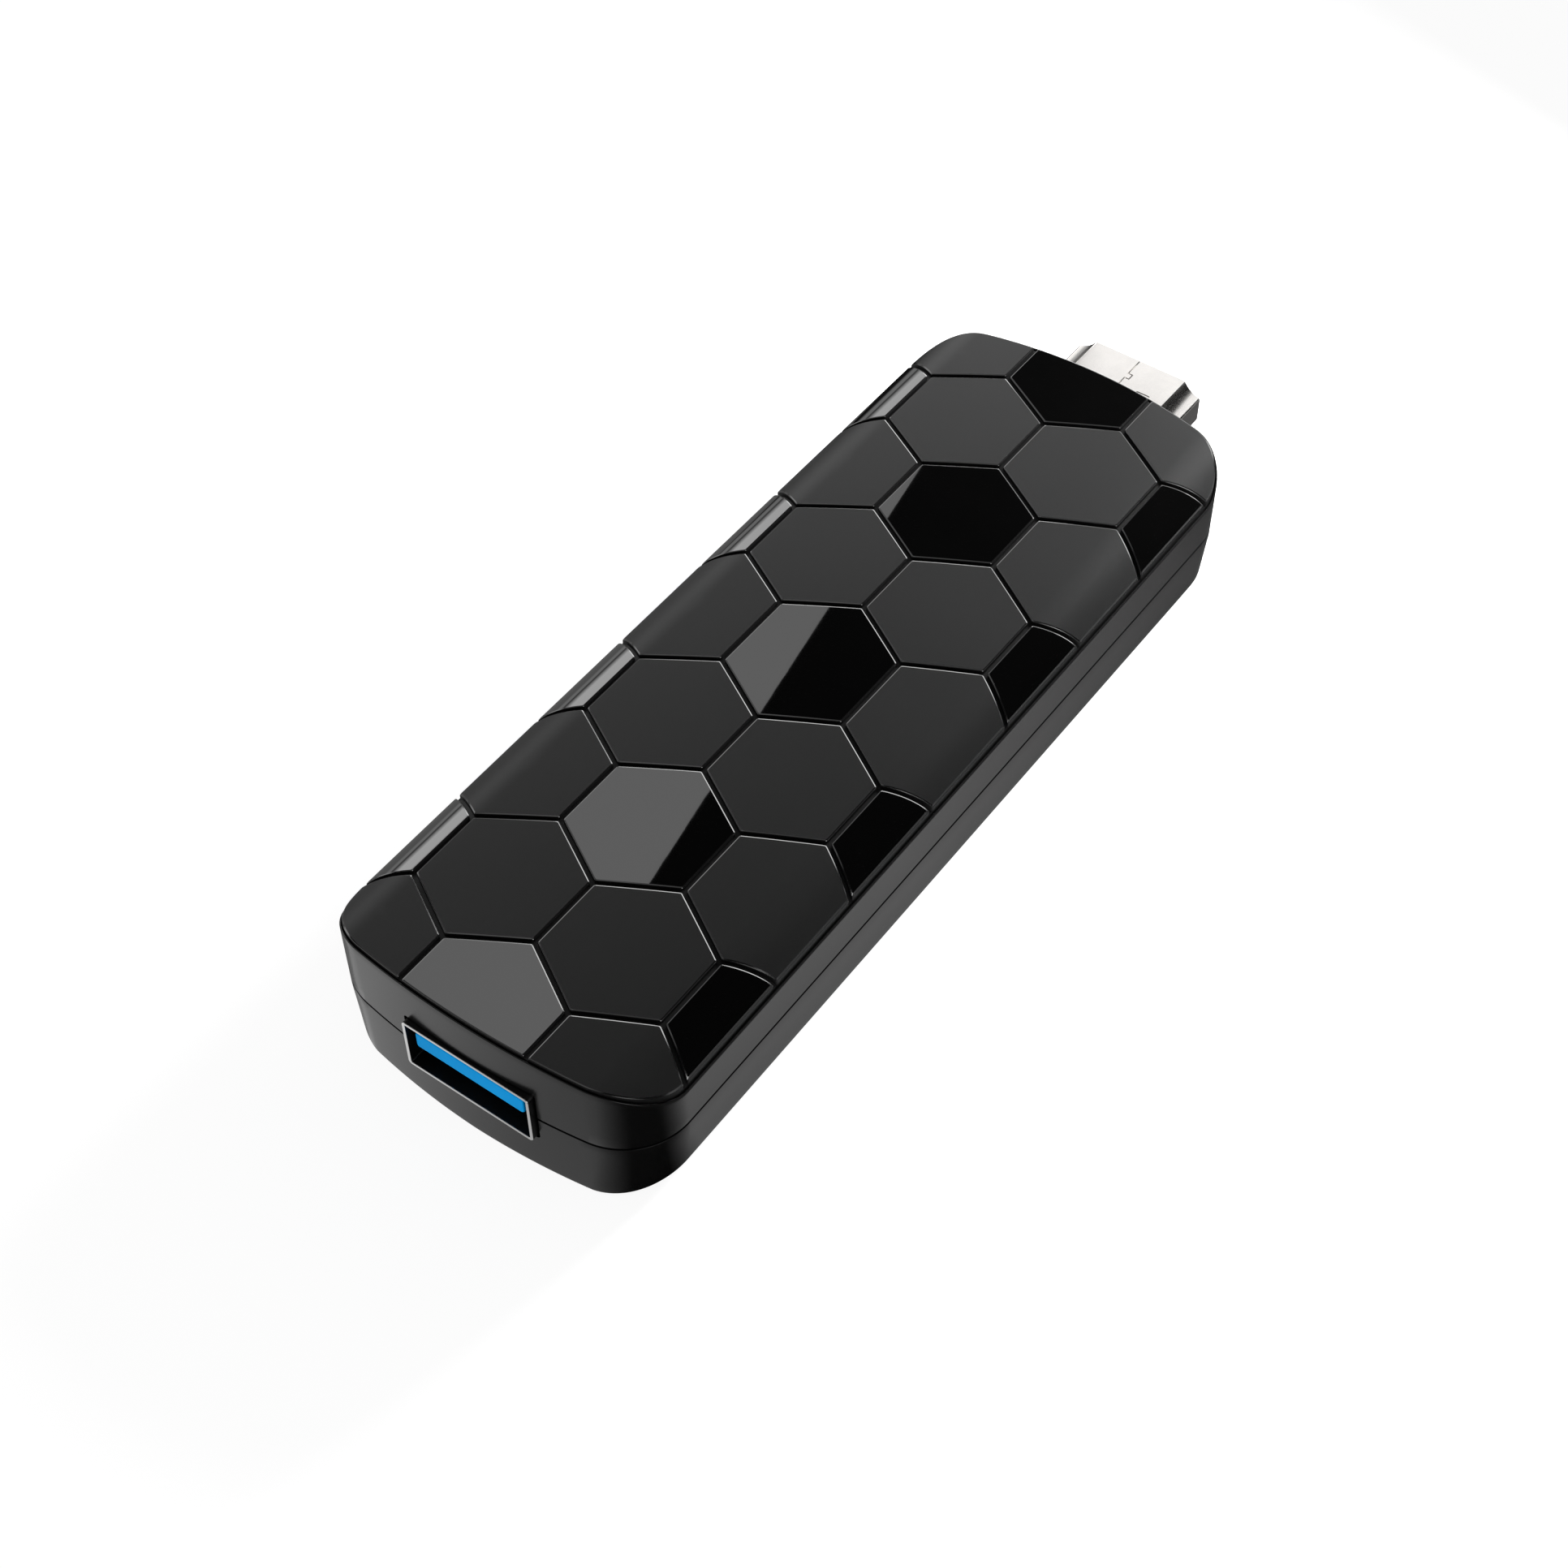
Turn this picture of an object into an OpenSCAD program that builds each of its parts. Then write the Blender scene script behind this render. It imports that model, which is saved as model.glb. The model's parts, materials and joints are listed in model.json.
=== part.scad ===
// Streaming stick: a slim media player that plugs into the side of a television.
// Frame: +Y towards the video plug, +Z up out of the honeycomb cover, +X towards the plain long side.
// The origin is the middle of the flat underside. All sizes are millimetres.

/* [Case] */
// Width across the two long walls
body_w = 33.8; // [32:0.1:42]
// Length from end wall to end wall, at the middle of the bow
body_l = 94.1; // [92:0.1:110]
// Height from the underside to the top of the middle tiles
body_h = 15.5; // [15.2:0.1:18]
// How far each end wall bows outwards
end_bow = 2.0; // [0.8:0.1:4]
// Radius of the upright corners
corner_r = 6.4; // [4:0.1:9]
// Height of the joint line between the two housings
part_z = 7.4; // [7:0.05:8]
// Wall of both housings
wall = 1.6; // [1.4:0.05:1.8]
// Floor of the lower housing
floor_t = 1.4; // [1:0.05:1.8]
// Lean of the lower side walls, measured at the underside
side_draft = 0.55; // [0.1:0.05:0.8]

/* [Crown] */
// Radius of the shallow crown across the cover
crown_r = 145; // [110:1:260]
// Radius of the roll where the cover turns down to the side walls
roll_r = 9; // [7:0.1:14]
// Distance from the side wall to the start of that roll
roll_in = 4.65; // [3:0.05:6]
// Radius of the roll along the underside
belly_r = 12; // [9:0.1:20]
// Distance from the side wall to the start of the underside roll
belly_in = 5.8; // [4:0.1:7]

/* [Honeycomb cover] */
// Length of one hexagon side
hex_a = 7.4; // [5.5:0.05:10]
// Extra length of the middle row of hexagons
hex_stretch = 1.2; // [0:0.02:2]
// Width of the grooves between the tiles
groove_w = 0.5; // [0.3:0.02:1]
// Height of the tiles above the groove floor
tile_h = 0.4; // [0.2:0.02:0.6]
// Thickness of the cover with its tiles
cover_t = 1.4; // [1.2:0.05:1.6]
// Distance from the outer wall to the edge of the cover
cover_inset = 0.4; // [0.34:0.02:0.6]
// Thickness of the rim that stands round the cover
rim_w = 0.22; // [0.18:0.01:0.3]
// How far the rim sits below the tiles
rim_drop = 0.4; // [0.2:0.02:0.6]
// Diameter of the locating posts under the cover
post_d = 1.6; // [1.2:0.1:2.2]
// Clearance round each locating post
post_gap = 0.1; // [0.06:0.01:0.2]

/* [Joint between the housings] */
// Thickness of the tongue on the lower housing
tongue_t = 0.6; // [0.4:0.05:0.7]
// Height of the tongue
tongue_h = 1.0; // [0.6:0.05:1.2]
// Clearance round the tongue
tongue_gap = 0.1; // [0.06:0.01:0.15]
// Height of the shadow line along the joint
seam_h = 0.12; // [0.08:0.01:0.2]
// Depth of the shadow line
seam_d = 0.35; // [0.2:0.01:0.5]
// Width of each snap hook
hook_w = 6; // [4:0.5:6.5]
// Thickness of each snap hook
hook_t = 0.8; // [0.6:0.05:0.9]
// Reach of the catch on each snap hook
hook_catch = 0.4; // [0.3:0.05:0.5]
// Space between the snap hooks and the lower wall
hook_gap = 0.12; // [0.08:0.01:0.2]

/* [Circuit board] */
// Thickness of the circuit board
board_t = 1.0; // [0.8:0.1:1.2]
// Distance from the board's front edge to the front end of the case
board_front = 5.4; // [5:0.1:6]
// Distance from the board's back edge to the back end of the case
board_back = 4.2; // [4:0.1:5]
// Space between the board's edges and the snap hooks
board_gap = 0.35; // [0.2:0.05:0.6]
// Diameter of the screw shanks
screw_d = 1.5; // [1.2:0.05:1.6]
// Diameter of the screw heads
screw_head_d = 3.0; // [2.6:0.1:3.4]
// Clearance round a screw shank in its pilot hole
pilot_gap = 0.05; // [0.03:0.01:0.08]
// Diameter of the bosses that carry the board
boss_d = 4.2; // [3.6:0.1:4.6]

/* [Video plug] */
// Distance of the plug from the middle of the case
hdmi_x = 0.9; // [-1:0.1:1.6]
// Width of the plug
hdmi_w = 13.9; // [13.8:0.05:14]
// Height of the plug
hdmi_h = 4.45; // [4.4:0.01:4.5]
// Width of the plug's narrow face
hdmi_top_w = 10.1; // [9.8:0.05:10.4]
// Height of the plug's straight sides
hdmi_side_h = 3.1; // [2.9:0.05:3.3]
// Radius of the hollow shoulders
hdmi_shoulder_r = 2.8; // [2.4:0.1:4]
// How far the plug stands out of the case
hdmi_reach = 7.45; // [7:0.05:12]
// Length of the plug inside the case
hdmi_tail = 8.6; // [7.5:0.1:10]

/* [USB port] */
// Distance of the port from the middle of the case
usb_x = 0.3; // [-1.5:0.1:1.5]
// Height of the middle of the port
usb_z = 7.75; // [7.5:0.05:7.9]
// Width of the port's shell
usb_w = 13.1; // [13:0.05:13.2]
// Height of the port's shell
usb_h = 5.72; // [5.6:0.02:5.8]
// Length of the port's shell
usb_l = 14.2; // [13:0.1:16]
// How far the shell stands out of the end wall
usb_proud = 0.3; // [0.1:0.05:0.6]
// Width of the tongue in the port
usb_tongue_w = 11.2; // [11:0.05:11.4]
// Thickness of the tongue in the port
usb_tongue_t = 1.84; // [1.8:0.02:1.9]

/* [Side sockets] */
// Distance of the power socket from the plug end of the case
power_in = 21; // [20.5:0.5:23.5]
// Width of the power socket
power_w = 7.5; // [7.4:0.05:7.6]
// Height of the power socket
power_h = 2.5; // [2.4:0.05:2.6]
// Depth of the power socket
power_l = 5.4; // [5:0.1:5.8]
// Distance of the card slot from the middle, towards the plug
card_y = -4; // [-9:0.5:-4]
// Width of the card
card_w = 11; // [10.9:0.05:11.1]
// Thickness of the card socket
card_socket_h = 1.7; // [1.5:0.05:1.9]
// Depth of the card socket
card_socket_l = 14; // [13:0.5:16]

/* [Reset button] */
// Distance of the button from the middle, towards the plug
button_y = 13; // [13:0.5:16]
// Length of the button along the wall
button_w = 4.4; // [3.6:0.1:5]
// Height of the button
button_h = 1.9; // [1.5:0.05:2]
// How far the button stands out of the wall
button_proud = 0.3; // [0.1:0.05:0.5]
// Clearance between the button and its hole
button_gap = 0.15; // [0.1:0.01:0.2]
// Travel of the button
button_travel = 0.25; // [0.2:0.01:0.35]
// Diameter of the plunger behind the button
plunger_d = 1.6; // [1.2:0.1:1.8]

/* [Fits] */
// Sheet metal of the connector shells
shell_t = 0.3; // [0.25:0.01:0.35]
// Clearance between each connector and its opening in the case
port_gap = 0.2; // [0.15:0.01:0.3]
// Width of the vents in the underside
vent_w = 1.2; // [0.8:0.1:1.6]
// Length of the vents in the underside
vent_l = 8; // [6:0.5:9]
// Number of vents in each of the two rows
vents = 9; // [5:1:11]

/* [Grip pads] */
// Diameter of the rubber pads in the underside
grip_d = 4.4; // [3.6:0.1:5]
// Thickness of the pads, which lie flush with the underside
grip_t = 0.6; // [0.4:0.05:0.7]
// Clearance round each pad
grip_gap = 0.1; // [0.06:0.01:0.2]

/* [Hidden] */

eps = 0.01;
far = 200;
hx = body_w / 2;
hy = body_l / 2;

// Each end wall is one long arc, and the upright corners are tangent to it and to the long walls.
end_r = (hx * hx + end_bow * end_bow) / (2 * end_bow);
end_cy = hy - end_r;
corner_cx = hx - corner_r;
corner_cy = end_cy + sqrt(pow(end_r - corner_r, 2) - pow(corner_cx, 2));

// The crown's arc passes over to the roll's arc on one radial line. The roll's circle is larger by a
// hair, the lap, so that the two arcs cross and leave no step between them.
lap = 0.0005;
roll_a = asin((hx - roll_in) / crown_r);
crown_cz = body_h - crown_r;
roll_cx = (crown_r - roll_r) * sin(roll_a);
roll_cz = crown_cz + (crown_r - roll_r) * cos(roll_a);
belly_x = hx - belly_in;

// Heights from the top down, measured square to the crown.
web_t = 0.8;
web_drop = cover_t + web_t;

board_top = part_z;
board_bottom = board_top - board_t;
hook_x = hx - wall - hook_gap;
board_hx = hook_x - hook_t - board_gap;
board_y0 = -hy + board_front;
board_y1 = hy - board_back;
screw_x = board_hx - 2.3;
screw_y0 = board_y0 + 4.2;
screw_y1 = board_y1 - 8.2;
hook_ys = [-hy + 21, 6, hy - 13];
post_ys = [-hy + 13, 0, hy - 13];
post_x = 0.25 * body_w;
post_l = 0.9;
post_tip = body_h - web_drop - post_l;
grip_x = belly_x - grip_d / 2 - 1;
grip_ys = [-hy + 9.5, hy - 9.5];

usb_y = -hy - usb_proud;
usb_back = usb_y + usb_l;
usb_slot_gap = 0.15;
usb_corner = 0.4;
hdmi_y = hy + hdmi_reach;
hdmi_back = hy - hdmi_tail;
hdmi_z = board_top;
power_x = -hx + 0.4;
power_y = hy - power_in;
card_x = -hx + wall + 0.1;
card_z = board_bottom - card_socket_h;
button_x = -hx - button_proud;
flange_x = -(hx - wall - 0.12);
flange_t = 0.5;
// The button is half way between the parting line and the point where the web meets the side wall.
side_top = roll_cz + sqrt(pow(roll_r - web_drop, 2) - pow(-flange_x - roll_cx, 2));
button_z = (part_z + side_top) / 2;
switch_x = flange_x + flange_t + 0.9;
switch_l = 3.5;
switch_w = 6;
switch_h = button_z - board_top + 1.25;

// Layout of the board: the radio group is placed from the back of the USB port, the power group from the
// back of the video plug, and the processor group lies between the two.
chip_h = 1.0;
chip_gap = 1.0;
edge_gap = 0.7;
radio_w = 0.765 * board_hx;
radio = [board_hx - radio_w / 2 - 1.9, usb_back + 7.5 + radio_w / 2];
flash_size = [0.8 * board_hx, 13];
edge_cap = [1.6, 0.8];
row_cap = [0.9, 1.8];
small_cap = [0.8, 0.5];
flash = [-board_hx + edge_gap + edge_cap.x + chip_gap / 2 + flash_size.x / 2, radio.y - chip_gap];
coil_w = 4;
coil_pitch = 1.3 * coil_w;
coil = [0.29 * board_hx, hdmi_back - 8.45];
row_y = hdmi_back - 3.85;
regulator_w = 4;

cpu_w = 14;
pad_t = 0.7;
memory_size = [11, 7.5];
sink_y0 = radio.y + radio_w / 2 + 4.65;
sink_y1 = coil.y - coil_w / 2 - 6;
sink_l = sink_y1 - sink_y0;
sink_w = 1.46 * board_hx;
sink = [0.17 * board_hx, (sink_y0 + sink_y1) / 2];
sink_base = 0.8;
sink_fins = 8;
sink_fin_t = 0.8;
sink_top = post_tip - 0.4;
cpu = [sink.x - 0.5, sink.y];
memory_dy = (cpu_w + memory_size.y) / 2 + chip_gap;

// Plan of the case, drawn in from its outer face
module outline(inset = 0) {
    spread = 1.2;
    square([2 * (hx - inset), 2 * corner_cy], center = true);
    for (sx = [-1, 1], sy = [-1, 1])
        translate([sx * corner_cx, sy * corner_cy]) circle(r = corner_r - inset, $fn = 96);
    for (sy = [-1, 1]) intersection() {
        translate([0, sy * end_cy]) circle(r = end_r - inset, $fn = 720);
        polygon([
            [0, sy * end_cy],
            [spread * corner_cx, sy * (end_cy + spread * (corner_cy - end_cy))],
            [-spread * corner_cx, sy * (end_cy + spread * (corner_cy - end_cy))]
        ]);
    }
}

// Block with the case's plan between two heights
module case_block(inset, z0, z1) {
    translate([0, 0, z0]) linear_extrude(z1 - z0) outline(inset);
}

// Section carried along the whole case
module along_case() {
    rotate([90, 0, 0]) translate([0, 0, -far / 2]) linear_extrude(far) children();
}

// Everything below the crowned top, lowered square to its surface
module under_crown(drop) {
    along_case() {
        intersection() {
            translate([0, crown_cz]) circle(r = crown_r - drop, $fn = 1440);
            translate([-(crown_r - drop) * sin(roll_a), 0])
                square([2 * (crown_r - drop) * sin(roll_a), body_h + 1]);
        }
        for (s = [-1, 1]) translate([s * roll_cx, roll_cz]) circle(r = roll_r - drop + lap, $fn = 180);
        translate([-roll_cx - roll_r + drop, -far / 4])
            square([2 * (roll_cx + roll_r - drop), far / 4 + roll_cz]);
    }
}

// Everything above the rolled underside, raised square to its surface, between leaning side walls
module over_belly(raise) {
    lean = 0.06;
    along_case() intersection() {
        union() {
            translate([-belly_x, raise]) square([2 * belly_x, far / 4]);
            for (s = [-1, 1]) translate([s * belly_x, belly_r]) circle(r = belly_r - raise, $fn = 240);
            translate([-belly_x - belly_r + raise, belly_r])
                square([2 * (belly_x + belly_r - raise), far / 4]);
        }
        polygon([
            [-hx + side_draft, 0], [hx - side_draft, 0], [hx + lean, part_z],
            [hx + lean, body_h], [-hx - lean, body_h], [-hx - lean, part_z]
        ]);
    }
}

// Slot with round ends along X
module stadium(length, width) {
    square([length - width, width], center = true);
    for (s = [-1, 1]) translate([s * (length - width) / 2, 0]) circle(d = width, $fn = 48);
}

// Rectangle with round corners, centred
module round_rect(size, r) {
    square([size.x - 2 * r, size.y], center = true);
    square([size.x, size.y - 2 * r], center = true);
    for (sx = [-1, 1], sy = [-1, 1])
        translate([sx * (size.x / 2 - r), sy * (size.y / 2 - r)]) circle(r = r, $fn = 48);
}

// Section drawn in X and Z, carried from y0 to y1
module from_front(y0, y1) {
    translate([0, y1, 0]) rotate([90, 0, 0]) linear_extrude(y1 - y0) children();
}

// Section drawn in Y and Z, carried from x0 to x1
module from_side(x0, x1) {
    translate([x0, 0, 0]) rotate([90, 0, 90]) linear_extrude(x1 - x0) children();
}

// Honeycomb: rows of hexagons with two sides along Y, and a longer middle row.
// A junction is named by whole steps across (u) and along (v).
function hex_y(v) = sign(v) * (abs(v) * hex_a + hex_stretch) / 2;
function junction(u, v) = [u * hex_a * sqrt(3) / 2, hex_y(v)];
function hexagon(u, v) = [
    junction(u, v + 2), junction(u + 1, v + 1), junction(u + 1, v - 1),
    junction(u, v - 2), junction(u - 1, v - 1), junction(u - 1, v + 1)
];
hex_cols = ceil(hx / (hex_a * sqrt(3))) + 1;
hex_rows = ceil(hy / (1.5 * hex_a)) + 1;

module tiles_plan() {
    intersection() {
        outline(cover_inset);
        for (row = [-hex_rows:hex_rows], col = [-hex_cols:hex_cols])
            offset(delta = -groove_w / 2)
                polygon(hexagon(2 * col + (row % 2 == 0 ? 0 : 1), 3 * row));
    }
}

module posts(d, z0, z1) {
    for (sx = [-1, 1], y = post_ys) translate([sx * post_x, y, z0]) cylinder(d = d, h = z1 - z0, $fn = 48);
}

module top_cover() color([0.16, 0.16, 0.17]) {
    difference() {
        intersection() {
            case_block(cover_inset, part_z, body_h + 1);
            under_crown(tile_h);
        }
        under_crown(cover_t);
    }
    difference() {
        intersection() {
            translate([0, 0, part_z]) linear_extrude(body_h + 1 - part_z) tiles_plan();
            under_crown(0);
        }
        under_crown(tile_h + 0.1);
    }
    intersection() {
        posts(post_d, post_tip, body_h);
        under_crown(cover_t - 0.2);
    }
}

// Openings in the walls: each is the connector's own outline with a clearance
module usb_opening() {
    from_front(-far / 2, usb_back) translate([usb_x, usb_z])
        round_rect([usb_w + 2 * port_gap, usb_h + 2 * port_gap], usb_corner);
}

module hdmi_opening() {
    from_front(hdmi_back, far / 2) translate([hdmi_x, hdmi_z + hdmi_h / 2])
        round_rect([hdmi_w + 2 * port_gap, hdmi_h + 2 * port_gap], 0.5);
}

module power_opening() {
    from_side(-far / 2, power_x + power_l) translate([power_y, board_top + power_h / 2])
        round_rect([power_w + 2 * port_gap, power_h + 2 * port_gap], 0.5);
}

module card_opening() {
    from_side(-far / 2, card_x + eps) translate([card_y, card_z + 0.65])
        round_rect([card_w + 0.8, 1.3], 0.3);
}

module button_opening() {
    from_side(-far / 2, flange_x) translate([button_y, button_z])
        stadium(button_w + 2 * button_gap, button_h + 2 * button_gap);
}

module wall_openings() {
    usb_opening();
    hdmi_opening();
    power_opening();
    card_opening();
    button_opening();
}

// Snap hooks hang from the upper walls and catch in pockets in the lower walls
catch_z = part_z - 2.2;
module snap_hooks() {
    root_z = part_z + tongue_h + tongue_gap + 0.1;
    for (s = [-1, 1], y = hook_ys) translate([0, y, 0]) scale([s, 1, 1]) from_front(-hook_w / 2, hook_w / 2)
        polygon([
            [hook_x - hook_t, catch_z - 0.8], [hook_x, catch_z - 0.8], [hook_x + hook_catch, catch_z],
            [hook_x + hook_catch, catch_z + 0.3], [hook_x, catch_z + 0.7], [hook_x, root_z],
            [hook_x + hook_gap + 0.2, root_z], [hook_x + hook_gap + 0.2, root_z + 1.6],
            [hook_x - hook_t, root_z + 1.2]
        ]);
}

module hook_pockets() {
    for (s = [-1, 1], y = hook_ys)
        translate([s * (hook_x + hook_catch / 2), y, catch_z - 0.1])
            cube([hook_catch + 0.3, hook_w + 0.4, 1.9], center = true);
}

module upper_housing() color([0.2, 0.2, 0.21]) {
    difference() {
        intersection() {
            case_block(0, part_z, body_h + 1);
            under_crown(rim_drop);
        }
        difference() {
            case_block(rim_w, part_z, body_h + 2);
            under_crown(cover_t);
        }
        intersection() {
            case_block(wall, part_z - 1, body_h + 1);
            under_crown(web_drop);
        }
        case_block(wall - tongue_t - tongue_gap, part_z - 1, part_z + tongue_h + tongue_gap);
        difference() {
            case_block(-1, part_z - 1, part_z + seam_h);
            case_block(seam_d, part_z - 2, part_z + 1);
        }
        posts(post_d + 2 * post_gap, part_z, body_h + 1);
        wall_openings();
    }
    snap_hooks();
    board_stops();
}

// Short pegs under the web that keep the board down on its bosses
module board_stops() {
    stop_d = 1.8;
    stop_x = board_hx - 0.5 - stop_d / 2;
    intersection() {
        for (y = [sink_y0 - 2.5, sink_y1 + 3]) translate([stop_x, y, board_top])
            cylinder(d = stop_d, h = body_h - board_top, $fn = 48);
        under_crown(web_drop - 0.3);
    }
}

module bosses() {
    for (sx = [-1, 1], y = [screw_y0, screw_y1]) translate([sx * screw_x, y, floor_t / 2])
        cylinder(d = boss_d, h = board_bottom - floor_t / 2, $fn = 64);
}

module lower_housing() color([0.19, 0.19, 0.2]) {
    difference() {
        union() {
            difference() {
                intersection() {
                    case_block(0, 0, part_z);
                    over_belly(0);
                }
                intersection() {
                    case_block(wall, -1, part_z + 1);
                    over_belly(floor_t);
                }
            }
            difference() {
                case_block(wall - tongue_t, part_z - 1, part_z + tongue_h);
                case_block(wall, part_z - 2, part_z + tongue_h + 1);
            }
            intersection() {
                bosses();
                over_belly(floor_t / 2);
            }
            for (x = [-6.5, 6.5]) translate([x - 0.5, 10, floor_t - 0.2])
                cube([1, 26, board_bottom - floor_t + 0.2]);
        }
        for (sx = [-1, 1], y = [screw_y0, screw_y1]) translate([sx * screw_x, y, floor_t])
            cylinder(d = screw_d + 2 * pilot_gap, h = far, $fn = 48);
        for (sx = [-1, 1], i = [0:vents - 1])
            translate([sx * (vent_l / 2 + 1.6), (i - (vents - 1) / 2) * 2.4 * vent_w - 12, -1])
                linear_extrude(floor_t + 2) stadium(vent_l, vent_w);
        grips(grip_d + 2 * grip_gap, -1, grip_t);
        hook_pockets();
        wall_openings();
    }
}

module grips(d, z0, z1) {
    for (sx = [-1, 1], y = grip_ys) translate([sx * grip_x, y, z0]) cylinder(d = d, h = z1 - z0, $fn = 48);
}

module grip_pads() color([0.1, 0.1, 0.1]) {
    grips(grip_d, 0, grip_t);
}

module circuit_board() color([0.05, 0.25, 0.14]) {
    translate([0, 0, board_bottom]) linear_extrude(board_t) difference() {
        translate([-board_hx, board_y0]) square([2 * board_hx, board_y1 - board_y0]);
        translate([usb_x - usb_w / 2 - usb_slot_gap, -far / 2])
            square([usb_w + 2 * usb_slot_gap, far / 2 + usb_back + usb_slot_gap]);
        for (sx = [-1, 1], y = [screw_y0, screw_y1])
            translate([sx * screw_x, y]) circle(d = screw_d + 0.4, $fn = 48);
        for (sx = [-1, 1], sy = [board_y0, board_y1]) translate([sx * board_hx, sy])
            rotate(45) square(2.4, center = true);
    }
}

module board_screws() color([0.75, 0.75, 0.77]) {
    head_h = 1.0;
    for (sx = [-1, 1], y = [screw_y0, screw_y1]) translate([sx * screw_x, y, board_top]) difference() {
        union() {
            cylinder(d = screw_head_d, h = head_h, $fn = 64);
            translate([0, 0, -board_t - 3.2]) cylinder(d = screw_d, h = board_t + 3.2 + eps, $fn = 48);
        }
        for (a = [0, 90]) translate([0, 0, head_h]) rotate(a) cube([1.8, 0.4, 1], center = true);
    }
}

// Plug outline: straight sides, hollow shoulders and a narrow top, drawn in by a wall
shoulder_dx = (hdmi_w - hdmi_top_w) / 2;
shoulder_dz = hdmi_h - hdmi_side_h;
shoulder_l = norm([shoulder_dx, shoulder_dz]);
shoulder_h = sqrt(pow(hdmi_shoulder_r, 2) - pow(shoulder_l / 2, 2));
shoulder_cx = (hdmi_top_w / 2 + hdmi_w / 2) / 2 + shoulder_h * shoulder_dz / shoulder_l;
shoulder_cz = (hdmi_h + hdmi_side_h) / 2 + shoulder_h * shoulder_dx / shoulder_l;

module hdmi_outline(inset = 0) {
    difference() {
        translate([-hdmi_w / 2 + inset, inset]) square([hdmi_w - 2 * inset, hdmi_h - 2 * inset]);
        for (s = [-1, 1]) translate([s * shoulder_cx, shoulder_cz])
            circle(r = hdmi_shoulder_r + inset, $fn = 180);
        for (s = [-1, 1]) translate([s * (hdmi_w / 2 - inset), inset])
            rotate(45) square(0.6, center = true);
    }
}

module hdmi_place() {
    translate([hdmi_x, 0, hdmi_z]) children();
}

// Latch holes in the broad faces of the plug, as wide as the springs that enter them
latch_w = 1.5;
latch_l = 2.2;
latch_x = 2.75;
latch_y = 4.05;

module hdmi_shell() color([0.86, 0.85, 0.83]) {
    seam = 0.08;
    tab_w = 0.6;
    tab_y0 = hdmi_y - 3.1;
    tab_y1 = hdmi_y - 2.25;
    hdmi_place() difference() {
        from_front(hdmi_back, hdmi_y) difference() {
            hdmi_outline();
            hdmi_outline(shell_t);
        }
        for (s = [-1, 1]) translate([s * latch_x - latch_w / 2, hdmi_y - latch_y - latch_l, -1])
            cube([latch_w, latch_l, hdmi_h + 2]);
        translate([0, 0, hdmi_h - shell_t - 0.1]) linear_extrude(1) {
            translate([-seam / 2, hdmi_back - 1]) square([seam, tab_y0 - hdmi_back + 1]);
            translate([-seam / 2, tab_y0]) square([tab_w, seam]);
            translate([tab_w - seam, tab_y0]) square([seam, tab_y1 - tab_y0]);
            translate([-seam / 2, tab_y1 - seam]) square([tab_w, seam]);
            translate([-seam / 2, tab_y1 - seam]) square([seam, 10]);
        }
    }
}

module hdmi_core() color([0.9, 0.9, 0.88]) {
    slot_w = 11.4;
    slot_h = 1.5;
    slot_l = 6.4;
    lip = 0.4;
    hdmi_place() difference() {
        from_front(hdmi_back + 0.5, hdmi_y - lip) hdmi_outline(shell_t);
        from_front(hdmi_y - lip - slot_l, hdmi_y) translate([0, 1.75]) square([slot_w, slot_h], center = true);
        for (i = [0:18]) translate([(i - 9) * 0.5 - 0.17, hdmi_y - lip - slot_l, i % 2 == 0 ? 2.4 : 0.75])
            cube([0.34, slot_l + 1, 0.35]);
    }
}

module hdmi_contacts() color([0.83, 0.68, 0.35]) {
    contact_w = 0.3;
    hdmi_place() for (i = [0:18]) translate([(i - 9) * 0.5 - contact_w / 2, hdmi_y - 6.8, i % 2 == 0 ? 2.42 : 0.92])
        cube([contact_w, 5.6, 0.16]);
}

module usb_place() {
    translate([usb_x, 0, usb_z]) children();
}

module usb_shell() color([0.84, 0.84, 0.85]) {
    spring_w = 1.6;
    leg = [1, 1.2, 0.3];
    usb_place() {
        difference() {
            from_front(usb_y, usb_back) difference() {
                round_rect([usb_w, usb_h], usb_corner);
                round_rect([usb_w - 2 * shell_t, usb_h - 2 * shell_t], usb_corner - shell_t);
            }
            for (sx = [-1, 1], s = [-1, 1])
                translate([sx * 3.2 - spring_w / 2, usb_y + 3, s * usb_h / 2 - 1]) difference() {
                    cube([spring_w, 5.4, 2]);
                    translate([0.2, -0.1, -0.1]) cube([spring_w - 0.4, 5.3, 2.2]);
                }
        }
        for (sx = [-1, 1], y = [usb_y + 8, usb_back - 2])
            translate([sx * (usb_w / 2 + 0.35), y, board_top - usb_z + leg.z / 2]) cube(leg, center = true);
    }
}

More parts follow.
